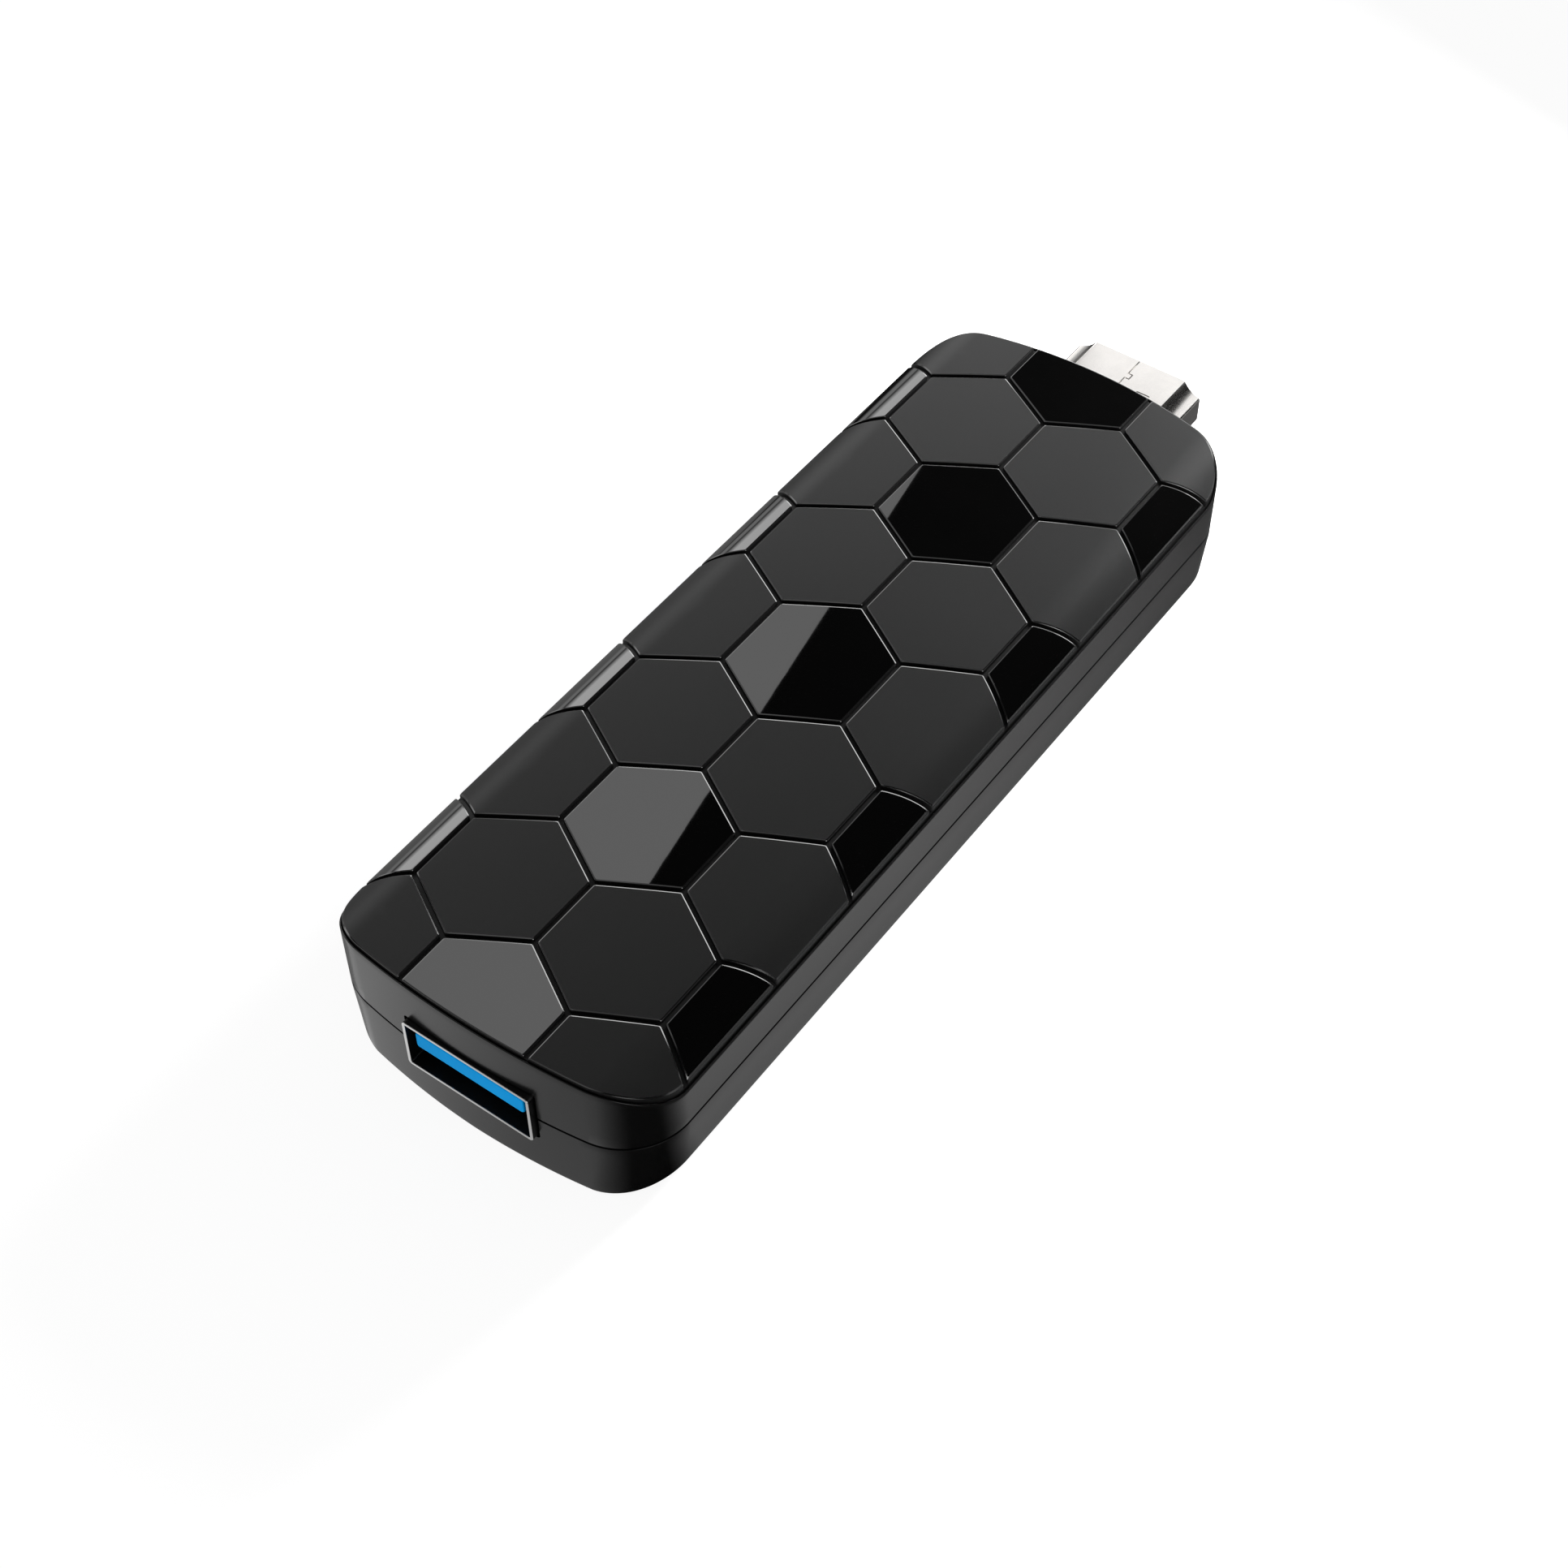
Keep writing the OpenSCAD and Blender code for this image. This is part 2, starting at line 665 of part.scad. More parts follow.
// Tongue near the roof of the port, on the block that closes the back of the shell
tongue_roof = 0.85;
tongue_y = usb_y + 0.35;
tongue_z1 = usb_h / 2 - shell_t - tongue_roof;
spring_xs = [-3.5, -1, 1, 3.5];
pad_xs = [-4, -2, 0, 2, 4];
pad_y = tongue_y + 0.2;
pad_l = 1.0;
spring_y = tongue_y + 1.5;
module usb_tongue() color([0.03, 0.36, 0.66]) {
    block_l = 4;
    usb_place() {
        from_front(tongue_y, spring_y - 0.1) translate([0, tongue_z1 - usb_tongue_t / 2])
            round_rect([usb_tongue_w, usb_tongue_t], 0.4);
        from_front(spring_y - 0.1, usb_back - block_l + eps) difference() {
            translate([0, tongue_z1 - usb_tongue_t / 2]) round_rect([usb_tongue_w, usb_tongue_t], 0.4);
            for (x = spring_xs) translate([x - 0.6, tongue_z1 - usb_tongue_t - 1]) square([1.2, 1.3]);
        }
        from_front(usb_back - block_l, usb_back - 0.1) round_rect(
            [usb_w - 2 * shell_t, usb_h - 2 * shell_t], usb_corner - shell_t);
    }
}

module usb_contacts() color([0.83, 0.68, 0.35]) {
    bend = 0.35;
    strip = 0.2;
    base_z = tongue_z1 - usb_tongue_t + 0.3 - strip;
    usb_place() {
        for (x = spring_xs) translate([x - 0.45, 0, 0]) from_side(0, 0.9) polygon([
            [spring_y, base_z], [spring_y + 0.7, base_z - bend], [spring_y + 1.1, base_z - bend],
            [spring_y + 2.2, base_z], [usb_back - 4.2, base_z], [usb_back - 4.2, base_z + strip],
            [spring_y, base_z + strip]
        ]);
        for (x = pad_xs) translate([x - 0.35, pad_y, tongue_z1 - usb_tongue_t - 0.08]) cube([0.7, pad_l, 0.08]);
    }
}

// Power socket outline: broad at the top, with the two lower corners cut away
module power_outline(inset = 0) {
    w = power_w / 2 - inset;
    foot = power_w / 2 - 1.05 - 0.4 * inset;
    polygon([
        [-foot, inset], [foot, inset], [w, 1.05 + 0.4 * inset], [w, power_h - inset],
        [-w, power_h - inset], [-w, 1.05 + 0.4 * inset]
    ]);
}

module power_place() {
    translate([0, power_y, board_top]) children();
}

module power_shell() color([0.84, 0.84, 0.85]) {
    power_place() {
        from_side(power_x, power_x + power_l) difference() {
            power_outline();
            power_outline(0.25);
        }
        for (s = [-1, 1]) translate([-board_hx + 1.6, s * (power_w / 2 - 0.125), 0.6])
            cube([1.4, 0.25, 1.2], center = true);
    }
}

module power_tongue() color([0.08, 0.08, 0.08]) {
    power_place() {
        translate([power_x + 0.7, -1.85, power_h - 1.05]) cube([power_l - 1.7, 3.7, 0.6]);
        from_side(power_x + power_l - 1.1, power_x + power_l - 0.1) power_outline(0.25);
    }
}

module power_contacts() color([0.83, 0.68, 0.35]) {
    power_place() for (i = [-2:2])
        translate([power_x + 1, i * 0.65 - 0.15, power_h - 1.17]) cube([power_l - 2.1, 0.3, 0.12]);
}

card_socket_w = card_w + 1.2;
module card_socket() color([0.1, 0.1, 0.1]) {
    translate([card_x, card_y, card_z]) difference() {
        translate([0, -card_socket_w / 2, 0.2]) cube([card_socket_l, card_socket_w, card_socket_h - 0.2]);
        translate([-1, -card_w / 2 - 0.1, 0]) cube([card_socket_l - 0.8, card_w + 0.2, 1.1]);
        for (i = [0:7]) translate([5, (i - 3.5) * 1.1 - 0.3, 1]) cube([6, 0.6, 0.3]);
    }
}

module card_cover() color([0.82, 0.82, 0.83]) {
    translate([card_x + 0.4, card_y, card_z]) difference() {
        translate([0, -card_socket_w / 2, 0]) cube([card_socket_l - 0.4, card_socket_w, 0.2]);
        for (s = [-1, 1]) translate([3, s * 3 - 0.5, -1]) difference() {
            cube([4.4, 1, 2]);
            translate([-0.1, 0.2, -0.1]) cube([4.3, 0.6, 2.2]);
        }
    }
}

module card_contacts() color([0.83, 0.68, 0.35]) {
    translate([card_x, card_y, card_z]) for (i = [0:7])
        translate([5.1, (i - 3.5) * 1.1 - 0.22, 1.02]) cube([5.8, 0.44, 0.2]);
}

module switch_body() color([0.12, 0.12, 0.12]) {
    bore_gap = 0.08;
    difference() {
        translate([switch_x, button_y - switch_w / 2, board_top]) cube([switch_l, switch_w, switch_h]);
        translate([switch_x - 1, button_y, button_z]) rotate([0, 90, 0])
            cylinder(d = plunger_d + 2 * bore_gap, h = 1 + 0.6 + button_travel + 0.3, $fn = 64);
    }
}

module switch_plunger() color([0.85, 0.85, 0.82]) {
    translate([flange_x + flange_t, button_y, button_z]) rotate([0, 90, 0])
        cylinder(d = plunger_d, h = switch_x - flange_x - flange_t + 0.6, $fn = 64);
}

module reset_button() color([0.12, 0.12, 0.13]) {
    from_side(button_x, flange_x + eps) translate([button_y, button_z]) stadium(button_w, button_h);
    from_side(flange_x, flange_x + flange_t) translate([button_y, button_z])
        round_rect([button_w + 1.4, button_h + 0.5], 0.6);
}

module chip(pos, size, h) {
    translate([pos.x - size.x / 2, pos.y - size.y / 2, board_top]) cube([size.x, size.y, h]);
}

module processor() color([0.15, 0.15, 0.16]) {
    chip(cpu, [cpu_w, cpu_w], 0.5);
    translate([0, 0, 0.5 - eps]) chip(cpu, [cpu_w - 3, cpu_w - 3], chip_h - 0.5 + eps);
}

module thermal_pad() color([0.55, 0.6, 0.68]) {
    translate([cpu.x - cpu_w / 2 + 1.5, cpu.y - cpu_w / 2 + 1.5, board_top + chip_h])
        cube([cpu_w - 3, cpu_w - 3, pad_t]);
}

module heat_sink() color([0.6, 0.61, 0.63]) {
    z0 = board_top + chip_h + pad_t;
    pitch = (sink_w - sink_fin_t) / (sink_fins - 1);
    translate([sink.x - sink_w / 2, sink.y - sink_l / 2, z0]) {
        cube([sink_w, sink_l, sink_base]);
        for (i = [0:sink_fins - 1]) translate([i * pitch, 0, 0]) cube([sink_fin_t, sink_l, sink_top - z0]);
    }
}

module memory_chips() color([0.13, 0.13, 0.14]) {
    for (s = [-1, 1]) chip([cpu.x, cpu.y + s * memory_dy], memory_size, chip_h);
}

module flash_chip() color([0.13, 0.13, 0.14]) {
    chip(flash, flash_size, chip_h);
}

module power_regulator() color([0.13, 0.13, 0.14]) {
    chip([coil.x - coil_pitch - coil_w - chip_gap, coil.y + chip_gap], [regulator_w, regulator_w], 0.9 * chip_h);
}

module inductors() color([0.35, 0.35, 0.37]) {
    base_h = 0.6;
    for (i = [-1:1]) {
        chip([coil.x + i * coil_pitch, coil.y], [coil_w, coil_w], base_h);
        translate([0, 0, base_h - eps])
            chip([coil.x + i * coil_pitch, coil.y], [0.85 * coil_w, 0.85 * coil_w], 1.6);
    }
}

module capacitors() color([0.72, 0.62, 0.5]) {
    for (i = [-3:3]) chip(
        [-board_hx + edge_gap + edge_cap.x / 2, flash.y + 2.75 * i * edge_cap.y], edge_cap, edge_cap.y);
    for (i = [-2:2]) chip([coil.x + 0.1815 * i * board_hx, row_y], row_cap, row_cap.x);
    for (i = [-3:3]) chip(
        [cpu.x + cpu_w / 2 + 2.2 * small_cap.x, cpu.y + 3.8 * i * small_cap.y], small_cap, small_cap.y);
}

module crystal() color([0.8, 0.8, 0.78]) {
    crystal_size = [2.5, 3.2];
    chip([-board_hx + 1.6 * edge_gap + crystal_size.x / 2, cpu.y - 3], crystal_size, 0.8 * chip_h);
}

module wireless_module() color([0.06, 0.2, 0.3]) {
    chip(radio, [radio_w, radio_w], 0.7);
}

module wireless_shield() color([0.78, 0.78, 0.8]) {
    can_w = radio_w - 1;
    can_h = 1.5;
    translate([radio.x - can_w / 2, radio.y - can_w / 2, board_top + 0.7]) difference() {
        cube([can_w, can_w, can_h]);
        translate([0.2, 0.2, -1]) cube([can_w - 0.4, can_w - 0.4, can_h + 0.8]);
        for (x = [2.2, can_w - 2.2], y = [2.2, can_w - 2.2])
            translate([x, y, 0]) cylinder(d = 0.8, h = 3, $fn = 32);
    }
}

// Folded sheet antenna on two legs beside the USB port
antenna_size = [4, 8, 3];
antenna_corner = [board_hx - antenna_size.x - 1.1, usb_back - 1.85];
feed_size = [1.2, 1.6];
module antenna() color([0.8, 0.8, 0.82]) {
    t = 0.25;
    slit = 0.8;
    leg_w = 1.2;
    translate([antenna_corner.x, antenna_corner.y, board_top]) {
        translate([0, 0, antenna_size.z - t]) difference() {
            cube([antenna_size.x, antenna_size.y, t]);
            translate([0.35 * antenna_size.x, 0.25 * antenna_size.y, -1]) cube([antenna_size.x, slit, 2]);
            translate([-0.35 * antenna_size.x, 0.6 * antenna_size.y, -1]) cube([antenna_size.x, slit, 2]);
        }
        for (y = [0, antenna_size.y - leg_w]) translate([0, y, 0]) cube([t, leg_w, antenna_size.z]);
    }
}

module antenna_feed() color([0.1, 0.1, 0.1]) {
    chip([antenna_corner.x - 1.1, antenna_corner.y + antenna_size.y / 2], feed_size, 0.6 * chip_h);
}

top_cover();
upper_housing();
lower_housing();
grip_pads();
circuit_board();
board_screws();
hdmi_shell();
hdmi_core();
hdmi_contacts();
usb_shell();
usb_tongue();
usb_contacts();
power_shell();
power_tongue();
power_contacts();
card_socket();
card_cover();
card_contacts();
switch_body();
switch_plunger();
reset_button();
processor();
thermal_pad();
heat_sink();
memory_chips();
flash_chip();
power_regulator();
inductors();
capacitors();
crystal();
wireless_module();
wireless_shield();
antenna();
antenna_feed();
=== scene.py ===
import json
from math import acos, asin, atan2, cos, hypot, pi, radians, sin, sqrt, tan

import bpy
import numpy as np
from mathutils import Matrix, Vector


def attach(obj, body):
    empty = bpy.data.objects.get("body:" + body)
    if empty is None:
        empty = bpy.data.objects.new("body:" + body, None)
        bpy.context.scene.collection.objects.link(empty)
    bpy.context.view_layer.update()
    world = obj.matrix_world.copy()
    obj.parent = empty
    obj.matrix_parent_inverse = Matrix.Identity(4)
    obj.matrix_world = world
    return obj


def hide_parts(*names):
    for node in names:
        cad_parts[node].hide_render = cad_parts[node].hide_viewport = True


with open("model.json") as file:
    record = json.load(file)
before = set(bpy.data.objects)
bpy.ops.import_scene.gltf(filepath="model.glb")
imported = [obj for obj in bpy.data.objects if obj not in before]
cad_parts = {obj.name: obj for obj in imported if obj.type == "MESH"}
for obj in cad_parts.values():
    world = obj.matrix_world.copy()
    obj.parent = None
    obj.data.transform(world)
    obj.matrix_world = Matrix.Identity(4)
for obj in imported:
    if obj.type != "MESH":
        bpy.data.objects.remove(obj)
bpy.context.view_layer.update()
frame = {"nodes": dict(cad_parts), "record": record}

# Streaming stick. Sizes are millimetres up to the studio; rawMesh turns them into metres.
# +Y is the video plug's end, +Z is up out of the honeycomb cover, +X is the plain long side.
print("frame loaded:", len(frame["nodes"]), "nodes")


# Meshes

metre = 0.001
sharpAngle = radians(32)


def gridQuads(rings, count, closed=False):
    # quads between round rings of points, where point c of ring r has the index r * count + c;
    # closed joins the last ring to the first
    r, c = np.meshgrid(np.arange(rings if closed else rings - 1), np.arange(count), indexing="ij")
    above, beside = (r + 1) % rings, (c + 1) % count
    corners = [r * count + c, r * count + beside, above * count + beside, above * count + c]
    return np.stack(corners, -1).reshape(-1, 4)


def weld(points, quads, cell=2e-4, shift=0.37):
    # points in one small cell become one, and a quad that loses a corner becomes a triangle;
    # gives the kept points, the quads, the triangles, and the old quads that those two came from
    key = np.floor(points / cell + shift).astype(np.int64)
    _, first, back = np.unique(key, axis=0, return_index=True, return_inverse=True)
    quads = back.ravel()[quads]
    same = quads == np.roll(quads, -1, axis=1)
    whole, bent = (np.flatnonzero(same.sum(1) == lost) for lost in (0, 1))
    keep = np.array([[1, 2, 3], [0, 2, 3], [0, 1, 3], [0, 1, 2]])
    triangles = np.take_along_axis(quads[bent], keep[same[bent].argmax(1)], axis=1)
    return first, quads[whole], triangles, whole, bent


def signedVolume(points, quads, triangles):
    # six times the volume between the faces and the first point, positive where faces look outwards
    total = 0.0
    for faces, order in ((quads, (0, 1, 2)), (quads, (0, 2, 3)), (triangles, (0, 1, 2))):
        if len(faces):
            a, b, c = (points[faces[:, k]] - points[0] for k in order)
            total += (a * np.cross(b, c)).sum()
    return total


def addObject(name, data):
    thing = bpy.data.objects.new(name, data)
    bpy.context.scene.collection.objects.link(thing)
    return thing


def rawMesh(name, points, quads, triangles=np.zeros((0, 3), int)):
    mesh = bpy.data.meshes.new(name)
    loops = np.concatenate([quads.ravel(), triangles.ravel()]).astype(np.int32)
    sizes = np.concatenate([np.full(len(quads), 4), np.full(len(triangles), 3)])
    mesh.vertices.add(len(points))
    mesh.vertices.foreach_set("co", (points * metre).astype(np.float32).ravel())
    mesh.loops.add(len(loops))
    mesh.loops.foreach_set("vertex_index", loops)
    mesh.polygons.add(len(sizes))
    mesh.polygons.foreach_set("loop_start", (np.cumsum(sizes) - sizes).astype(np.int32))
    mesh.update(calc_edges=True)
    mesh.validate()
    return mesh


def shadeMesh(mesh):
    mesh.shade_smooth()
    mesh.set_sharp_from_angle(angle=sharpAngle)


def putMesh(name, parts, normals=None, marks=None):
    # each part is a closed surface, welded and turned outwards by its volume; marks number the materials
    marks = marks or [np.zeros(len(quads), int) for _, quads in parts]
    allPoints, allQuads, allTriangles, allNormals, wholeMarks, bentMarks = ([] for _ in range(6))
    base = 0
    for k, (points, quads) in enumerate(parts):
        first, quads, triangles, whole, bent = weld(points, quads)
        points = points[first]
        if signedVolume(points, quads, triangles) < 0:
            quads, triangles = quads[:, ::-1], triangles[:, ::-1]
        allPoints.append(points)
        allQuads.append(quads + base)
        allTriangles.append(triangles + base)
        wholeMarks.append(marks[k][whole])
        bentMarks.append(marks[k][bent])
        if normals:
            allNormals.append(normals[k][first])
        base += len(points)
    mesh = rawMesh(name, np.vstack(allPoints), np.vstack(allQuads), np.vstack(allTriangles))
    for _ in range(1 + max(mark.max() for mark in marks)):
        mesh.materials.append(None)
    mesh.polygons.foreach_set("material_index", np.concatenate(wholeMarks + bentMarks).astype(np.int32))
    shadeMesh(mesh)
    if normals:
        mesh.normals_split_custom_set_from_vertices(np.vstack(allNormals).tolist())
    return addObject(name, mesh)


def carve(piece, parts):
    # cuts closed surfaces out of a piece, and keeps the result as the piece's own mesh
    cutter = putMesh("cutter", parts)
    cut = piece.modifiers.new("cut", "BOOLEAN")
    cut.operation, cut.solver, cut.object = "DIFFERENCE", "EXACT", cutter
    done = bpy.data.meshes.new_from_object(piece.evaluated_get(bpy.context.evaluated_depsgraph_get()))
    piece.modifiers.clear()
    bpy.data.objects.remove(cutter)
    piece.data = done
    done.name = piece.name
    shadeMesh(done)


def finishPiece(piece, slotName, *replaced, body="stick", made=None, weigh=True):
    # the slot's own finish unless others are named, flat faces that keep flat shading beside their
    # round edges, and the frame's tags
    slots = piece.data.materials
    for k, name in enumerate(made or [slotName]):
        if k < len(slots):
            slots[k] = finishes[name]
        else:
            slots.append(finishes[name])
    if weigh:
        piece.modifiers.new("weighted", "WEIGHTED_NORMAL").keep_sharp = True
    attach(piece, body)
    if replaced:
        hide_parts(*replaced)


# Loops, and the surfaces that they sweep

def roundedLoop(corners, radii, steps=6):
    # closed polygon whose corners become arcs tangent to both their sides; a radius of 0 keeps a corner
    corners = np.asarray(corners, float)
    before, after = np.roll(corners, 1, axis=0), np.roll(corners, -1, axis=0)
    loop = []
    for p, a, b, r in zip(corners, before, after, radii):
        if r <= 0:
            loop.append(p[None])
            continue
        u, v = (a - p) / np.linalg.norm(a - p), (b - p) / np.linalg.norm(b - p)
        half = acos(np.clip(u @ v, -1, 1)) / 2
        centre = p + (u + v) / np.linalg.norm(u + v) * r / sin(half)
        start, end = (p + way * r / tan(half) - centre for way in (u, v))
        t = np.linspace(0, 1, steps + 1)[:, None]
        turn = pi - 2 * half
        loop.append(centre + (start * np.sin((1 - t) * turn) + end * np.sin(t * turn)) / sin(turn))
    return np.vstack(loop)


def roundRectLoop(size, r, steps=8):
    x, z = size[0] / 2, size[1] / 2
    return roundedLoop([(-x, -z), (x, -z), (x, z), (-x, z)], [r] * 4, steps)


def stadiumLoop(length, width, steps=14):
    return roundRectLoop((length, width), width / 2 - 1e-4, steps)


def drawnIn(loop, inset):
    # a closed anticlockwise loop moved inwards, square to the chord between each point's neighbours
    chord = np.roll(loop, -1, axis=0) - np.roll(loop, 1, axis=0)
    normal = np.stack([chord[:, 1], -chord[:, 0]], -1)
    return loop - inset * normal / np.linalg.norm(normal, axis=1, keepdims=True)


def rim(r, steps=4):
    # a quarter round as (inset, depth): from (r, 0) on the end face to (0, r) on the wall
    turns = np.linspace(0, pi / 2, steps + 1)
    return [(r * (1 - sin(t)), r * (1 - cos(t))) for t in turns]


def atPlace(loop, place):
    return np.column_stack([loop, np.full(len(loop), float(place))])


def alongAxis(rings, axis, centre, closed=False):
    # rings of (across, up, along) become one surface whose last coordinate lies on the axis
    order = {"x": [2, 0, 1], "y": [0, 2, 1], "z": [0, 1, 2]}[axis]
    return np.vstack(rings)[:, order] + centre, gridQuads(len(rings), len(rings[0]), closed)


def carryLoop(loop, path, axis, centre=(0, 0, 0)):
    # a closed loop carried along an axis: path lists (inset, place); both ends close on the loop's centre
    loop = np.asarray(loop, float)
    rings = [atPlace(drawnIn(loop, inset), place) for inset, place in path]
    first, last = (atPlace(0 * loop + loop.mean(0), path[k][1]) for k in (0, -1))
    return alongAxis([first, *rings, last], axis, centre)


def carryTube(outer, inner, path, axis, centre):
    # a closed tube: path lists (share, inset, place), and the share passes from outer loop to inner loop
    rings = [atPlace((1 - share) * drawnIn(outer, inset) + share * drawnIn(inner, inset), place)
             for share, inset, place in path]
    return alongAxis(rings, axis, centre, closed=True)


def tubePath(back, front, lip, way=1):
    # outer wall from back to front, a round lip, and the inner wall back again; way -1 turns it round
    walls = np.linspace(back, front - lip, 5)
    path = [(0, 0, place) for place in walls[:-1]]
    path += [(0, inset, front - depth) for inset, depth in rim(lip)[::-1]]
    path += [(1, -inset, front - depth) for inset, depth in rim(lip)]
    path += [(1, 0, place) for place in walls[-2::-1]]
    return [(share, inset, way * place) for share, inset, place in path]


def box(low, high):
    # plain box, for cutting only
    (x0, y0, z0), (x1, y1, z1) = low, high
    return carryLoop([(x0, y0), (x1, y0), (x1, y1), (x0, y1)], [(0, z0), (0, z1)], "z")


def roundedBox(low, high, r, steps=3):
    # box with round edges along Z and round rims above and below
    (x0, y0, z0), (x1, y1, z1) = low, high
    path = [(inset, z0 + depth) for inset, depth in rim(r, steps)]
    path += [(inset, z1 - depth) for inset, depth in rim(r, steps)[::-1]]
    loop = roundRectLoop((x1 - x0, y1 - y0), r, steps + 1)
    return carryLoop(loop, path, "z", ((x0 + x1) / 2, (y0 + y1) / 2, 0))


def turned(profile, centre, count=48):
    # profile of (radius, height) turned about an upright axis; it starts and ends on the axis
    angle = np.linspace(0, 2 * pi, count, endpoint=False)
    circle = np.stack([np.cos(angle), np.sin(angle)], -1)
    return alongAxis([atPlace(r * circle, z) for r, z in profile], "z", centre)


# The case's outline and its crowned top

case = dict(halfWidth=16.9, halfLength=47.05, endBow=2.0, cornerRadius=6.4, height=15.5,
            crownRadius=145.0, rollRadius=6.25, rollStart=12.25, bellyRadius=12.0, bellyStart=11.1,
            draft=0.55, draftTop=6.67, parting=7.4, seam=0.26, seamDepth=0.35, wall=1.6, floor=1.4,
            sideSteps=30, cornerSteps=26, endSteps=36, middleLine=36, deepest=5.8,
            gathers=(0.25, 0.5, 0.75, 1.0))

halfWidth, cornerRadius = case["halfWidth"], case["cornerRadius"]
crownRadius, rollRadius = case["crownRadius"], case["rollRadius"]
endRadius = (halfWidth ** 2 + case["endBow"] ** 2) / (2 * case["endBow"])
endCentre = case["halfLength"] - endRadius
cornerX = halfWidth - cornerRadius
cornerY = endCentre + sqrt((endRadius - cornerRadius) ** 2 - cornerX ** 2)
cornerTurn = atan2(cornerY - endCentre, cornerX)
rollTurn = asin(case["rollStart"] / crownRadius)
crownCentre = case["height"] - crownRadius
rollX = (crownRadius - rollRadius) * sin(rollTurn)
rollZ = crownCentre + (crownRadius - rollRadius) * cos(rollTurn)


def outlineLoop():
    # plan of the case: corner arcs tangent to the straight sides and to two long end arcs; gives points
    # and outward directions, anticlockwise from the front of the +X side
    y = np.linspace(-cornerY, cornerY, case["sideSteps"], endpoint=False)
    points = [np.stack([np.full_like(y, halfWidth), y], -1)]
    normals = [np.tile([1.0, 0.0], (len(y), 1))]
    arcs = [((cornerX, cornerY), cornerRadius, 0, cornerTurn, case["cornerSteps"]),
            ((0, endCentre), endRadius, cornerTurn, pi - cornerTurn, case["endSteps"]),
            ((-cornerX, cornerY), cornerRadius, pi - cornerTurn, pi, case["cornerSteps"])]
    for centre, radius, start, end, count in arcs:
        t = np.linspace(start, end, count, endpoint=False)
        normals.append(np.stack([np.cos(t), np.sin(t)], -1))
        points.append(centre + radius * normals[-1])
    half, halfNormals = np.vstack(points), np.vstack(normals)
    return np.vstack([half, -half]), np.vstack([halfNormals, -halfNormals])


def crownHeight(x, drop):
    # height of the crowned top, lowered square to itself: one wide arc, then a tighter one near each side
    x = np.abs(x)
    wide, tight = crownRadius - drop, rollRadius - drop
    onWide = x <= wide * sin(rollTurn)
    return np.where(onWide, crownCentre + np.sqrt(np.maximum(wide ** 2 - x ** 2, 0)),
                    rollZ + np.sqrt(np.maximum(tight ** 2 - (x - rollX) ** 2, 0)))


def crownNormal(x):
    # the crown's own upward direction, away from each arc's centre
    inner = np.abs(x) <= case["rollStart"]
    outer = np.sign(x) * (np.abs(x) - rollX) / rollRadius
    across = np.where(inner, x / crownRadius, outer)
    return np.stack([across, np.zeros_like(x), np.sqrt(1 - across ** 2)], -1)


def bellyHeight(x, raised):
    # height of the rolled underside: flat in the middle, an arc towards each long side
    beyond = np.maximum(np.abs(x) - case["bellyStart"], 0)
    radius = case["bellyRadius"] - raised
    return case["bellyRadius"] - np.sqrt(np.maximum(radius ** 2 - beyond ** 2, 0.01))


def outlineDistance(x, y, inset):
    # how far a point lies outside the plan: the flat side, the end arc or the corner arc that is next to it
    x, y = np.abs(x), np.abs(y)
    side = x - halfWidth
    end = np.hypot(x, y - endCentre) - endRadius
    corner = np.hypot(x - cornerX, y - cornerY) - cornerRadius
    turn = np.arctan2(y - cornerY, x - cornerX)
    inCorner = (x > cornerX) & (y > cornerY) & (turn > 0) & (turn < cornerTurn)
    return np.where(inCorner, corner, np.maximum(side, end)) + inset


loopPoints, loopOut = outlineLoop()
spineY = np.clip(loopPoints[:, 1], -case["middleLine"], case["middleLine"])
spine = np.stack([np.zeros(len(loopPoints)), spineY], -1)


def ringAt(inset, gather=0.0):
    # the plan drawn in by an inset, then gathered towards the case's middle line by a share
    ring = loopPoints - np.asarray(inset).reshape(-1, 1) * loopOut
    return (1 - gather) * ring + gather * spine


def onCrown(inset, drop, gather=0.0):
    ring = ringAt(inset, gather)
    return np.column_stack([ring, crownHeight(ring[:, 0], drop)])


def onBelly(inset, raised, gather=0.0):
    ring = ringAt(inset, gather)
    return np.column_stack([ring, bellyHeight(ring[:, 0], raised)])


def onLevel(inset, level):
    return atPlace(ringAt(inset), level)


def crossing(surface, depth):
    # rings that gather the deepest ring of a surface onto the middle line
    return [surface(case["deepest"], depth, gather) for gather in case["gathers"]]


def shell(rings, closed):
    # rings of points along the plan become one surface
    return np.vstack(rings), gridQuads(len(rings), len(loopPoints), closed)


def bothSides(x, ys):
    return [(side * x, y, 0) for side in (-1, 1) for y in ys]


# Node expressions

def operator(operation, reflected=False):
    # a method that makes one Math node from its own socket and another socket or number
    def apply(self, other):
        a, b = (other, self) if reflected else (self, other)
        return self.finish.flow("Math", {"operation": operation}, {0: a, 1: b})
    return apply


class Flow:
    # one socket of a node tree that can be added, multiplied and so on
    def __init__(self, finish, socket):
        self.finish, self.socket = finish, socket

    __add__, __radd__ = operator("ADD"), operator("ADD", True)
    __sub__, __rsub__ = operator("SUBTRACT"), operator("SUBTRACT", True)
    __mul__, __rmul__ = operator("MULTIPLY"), operator("MULTIPLY", True)
    __truediv__, __pow__ = operator("DIVIDE"), operator("POWER")
    __gt__, __lt__ = operator("GREATER_THAN"), operator("LESS_THAN")

    def __abs__(self):
        return self.finish.flow("Math", {"operation": "ABSOLUTE"}, {0: self})


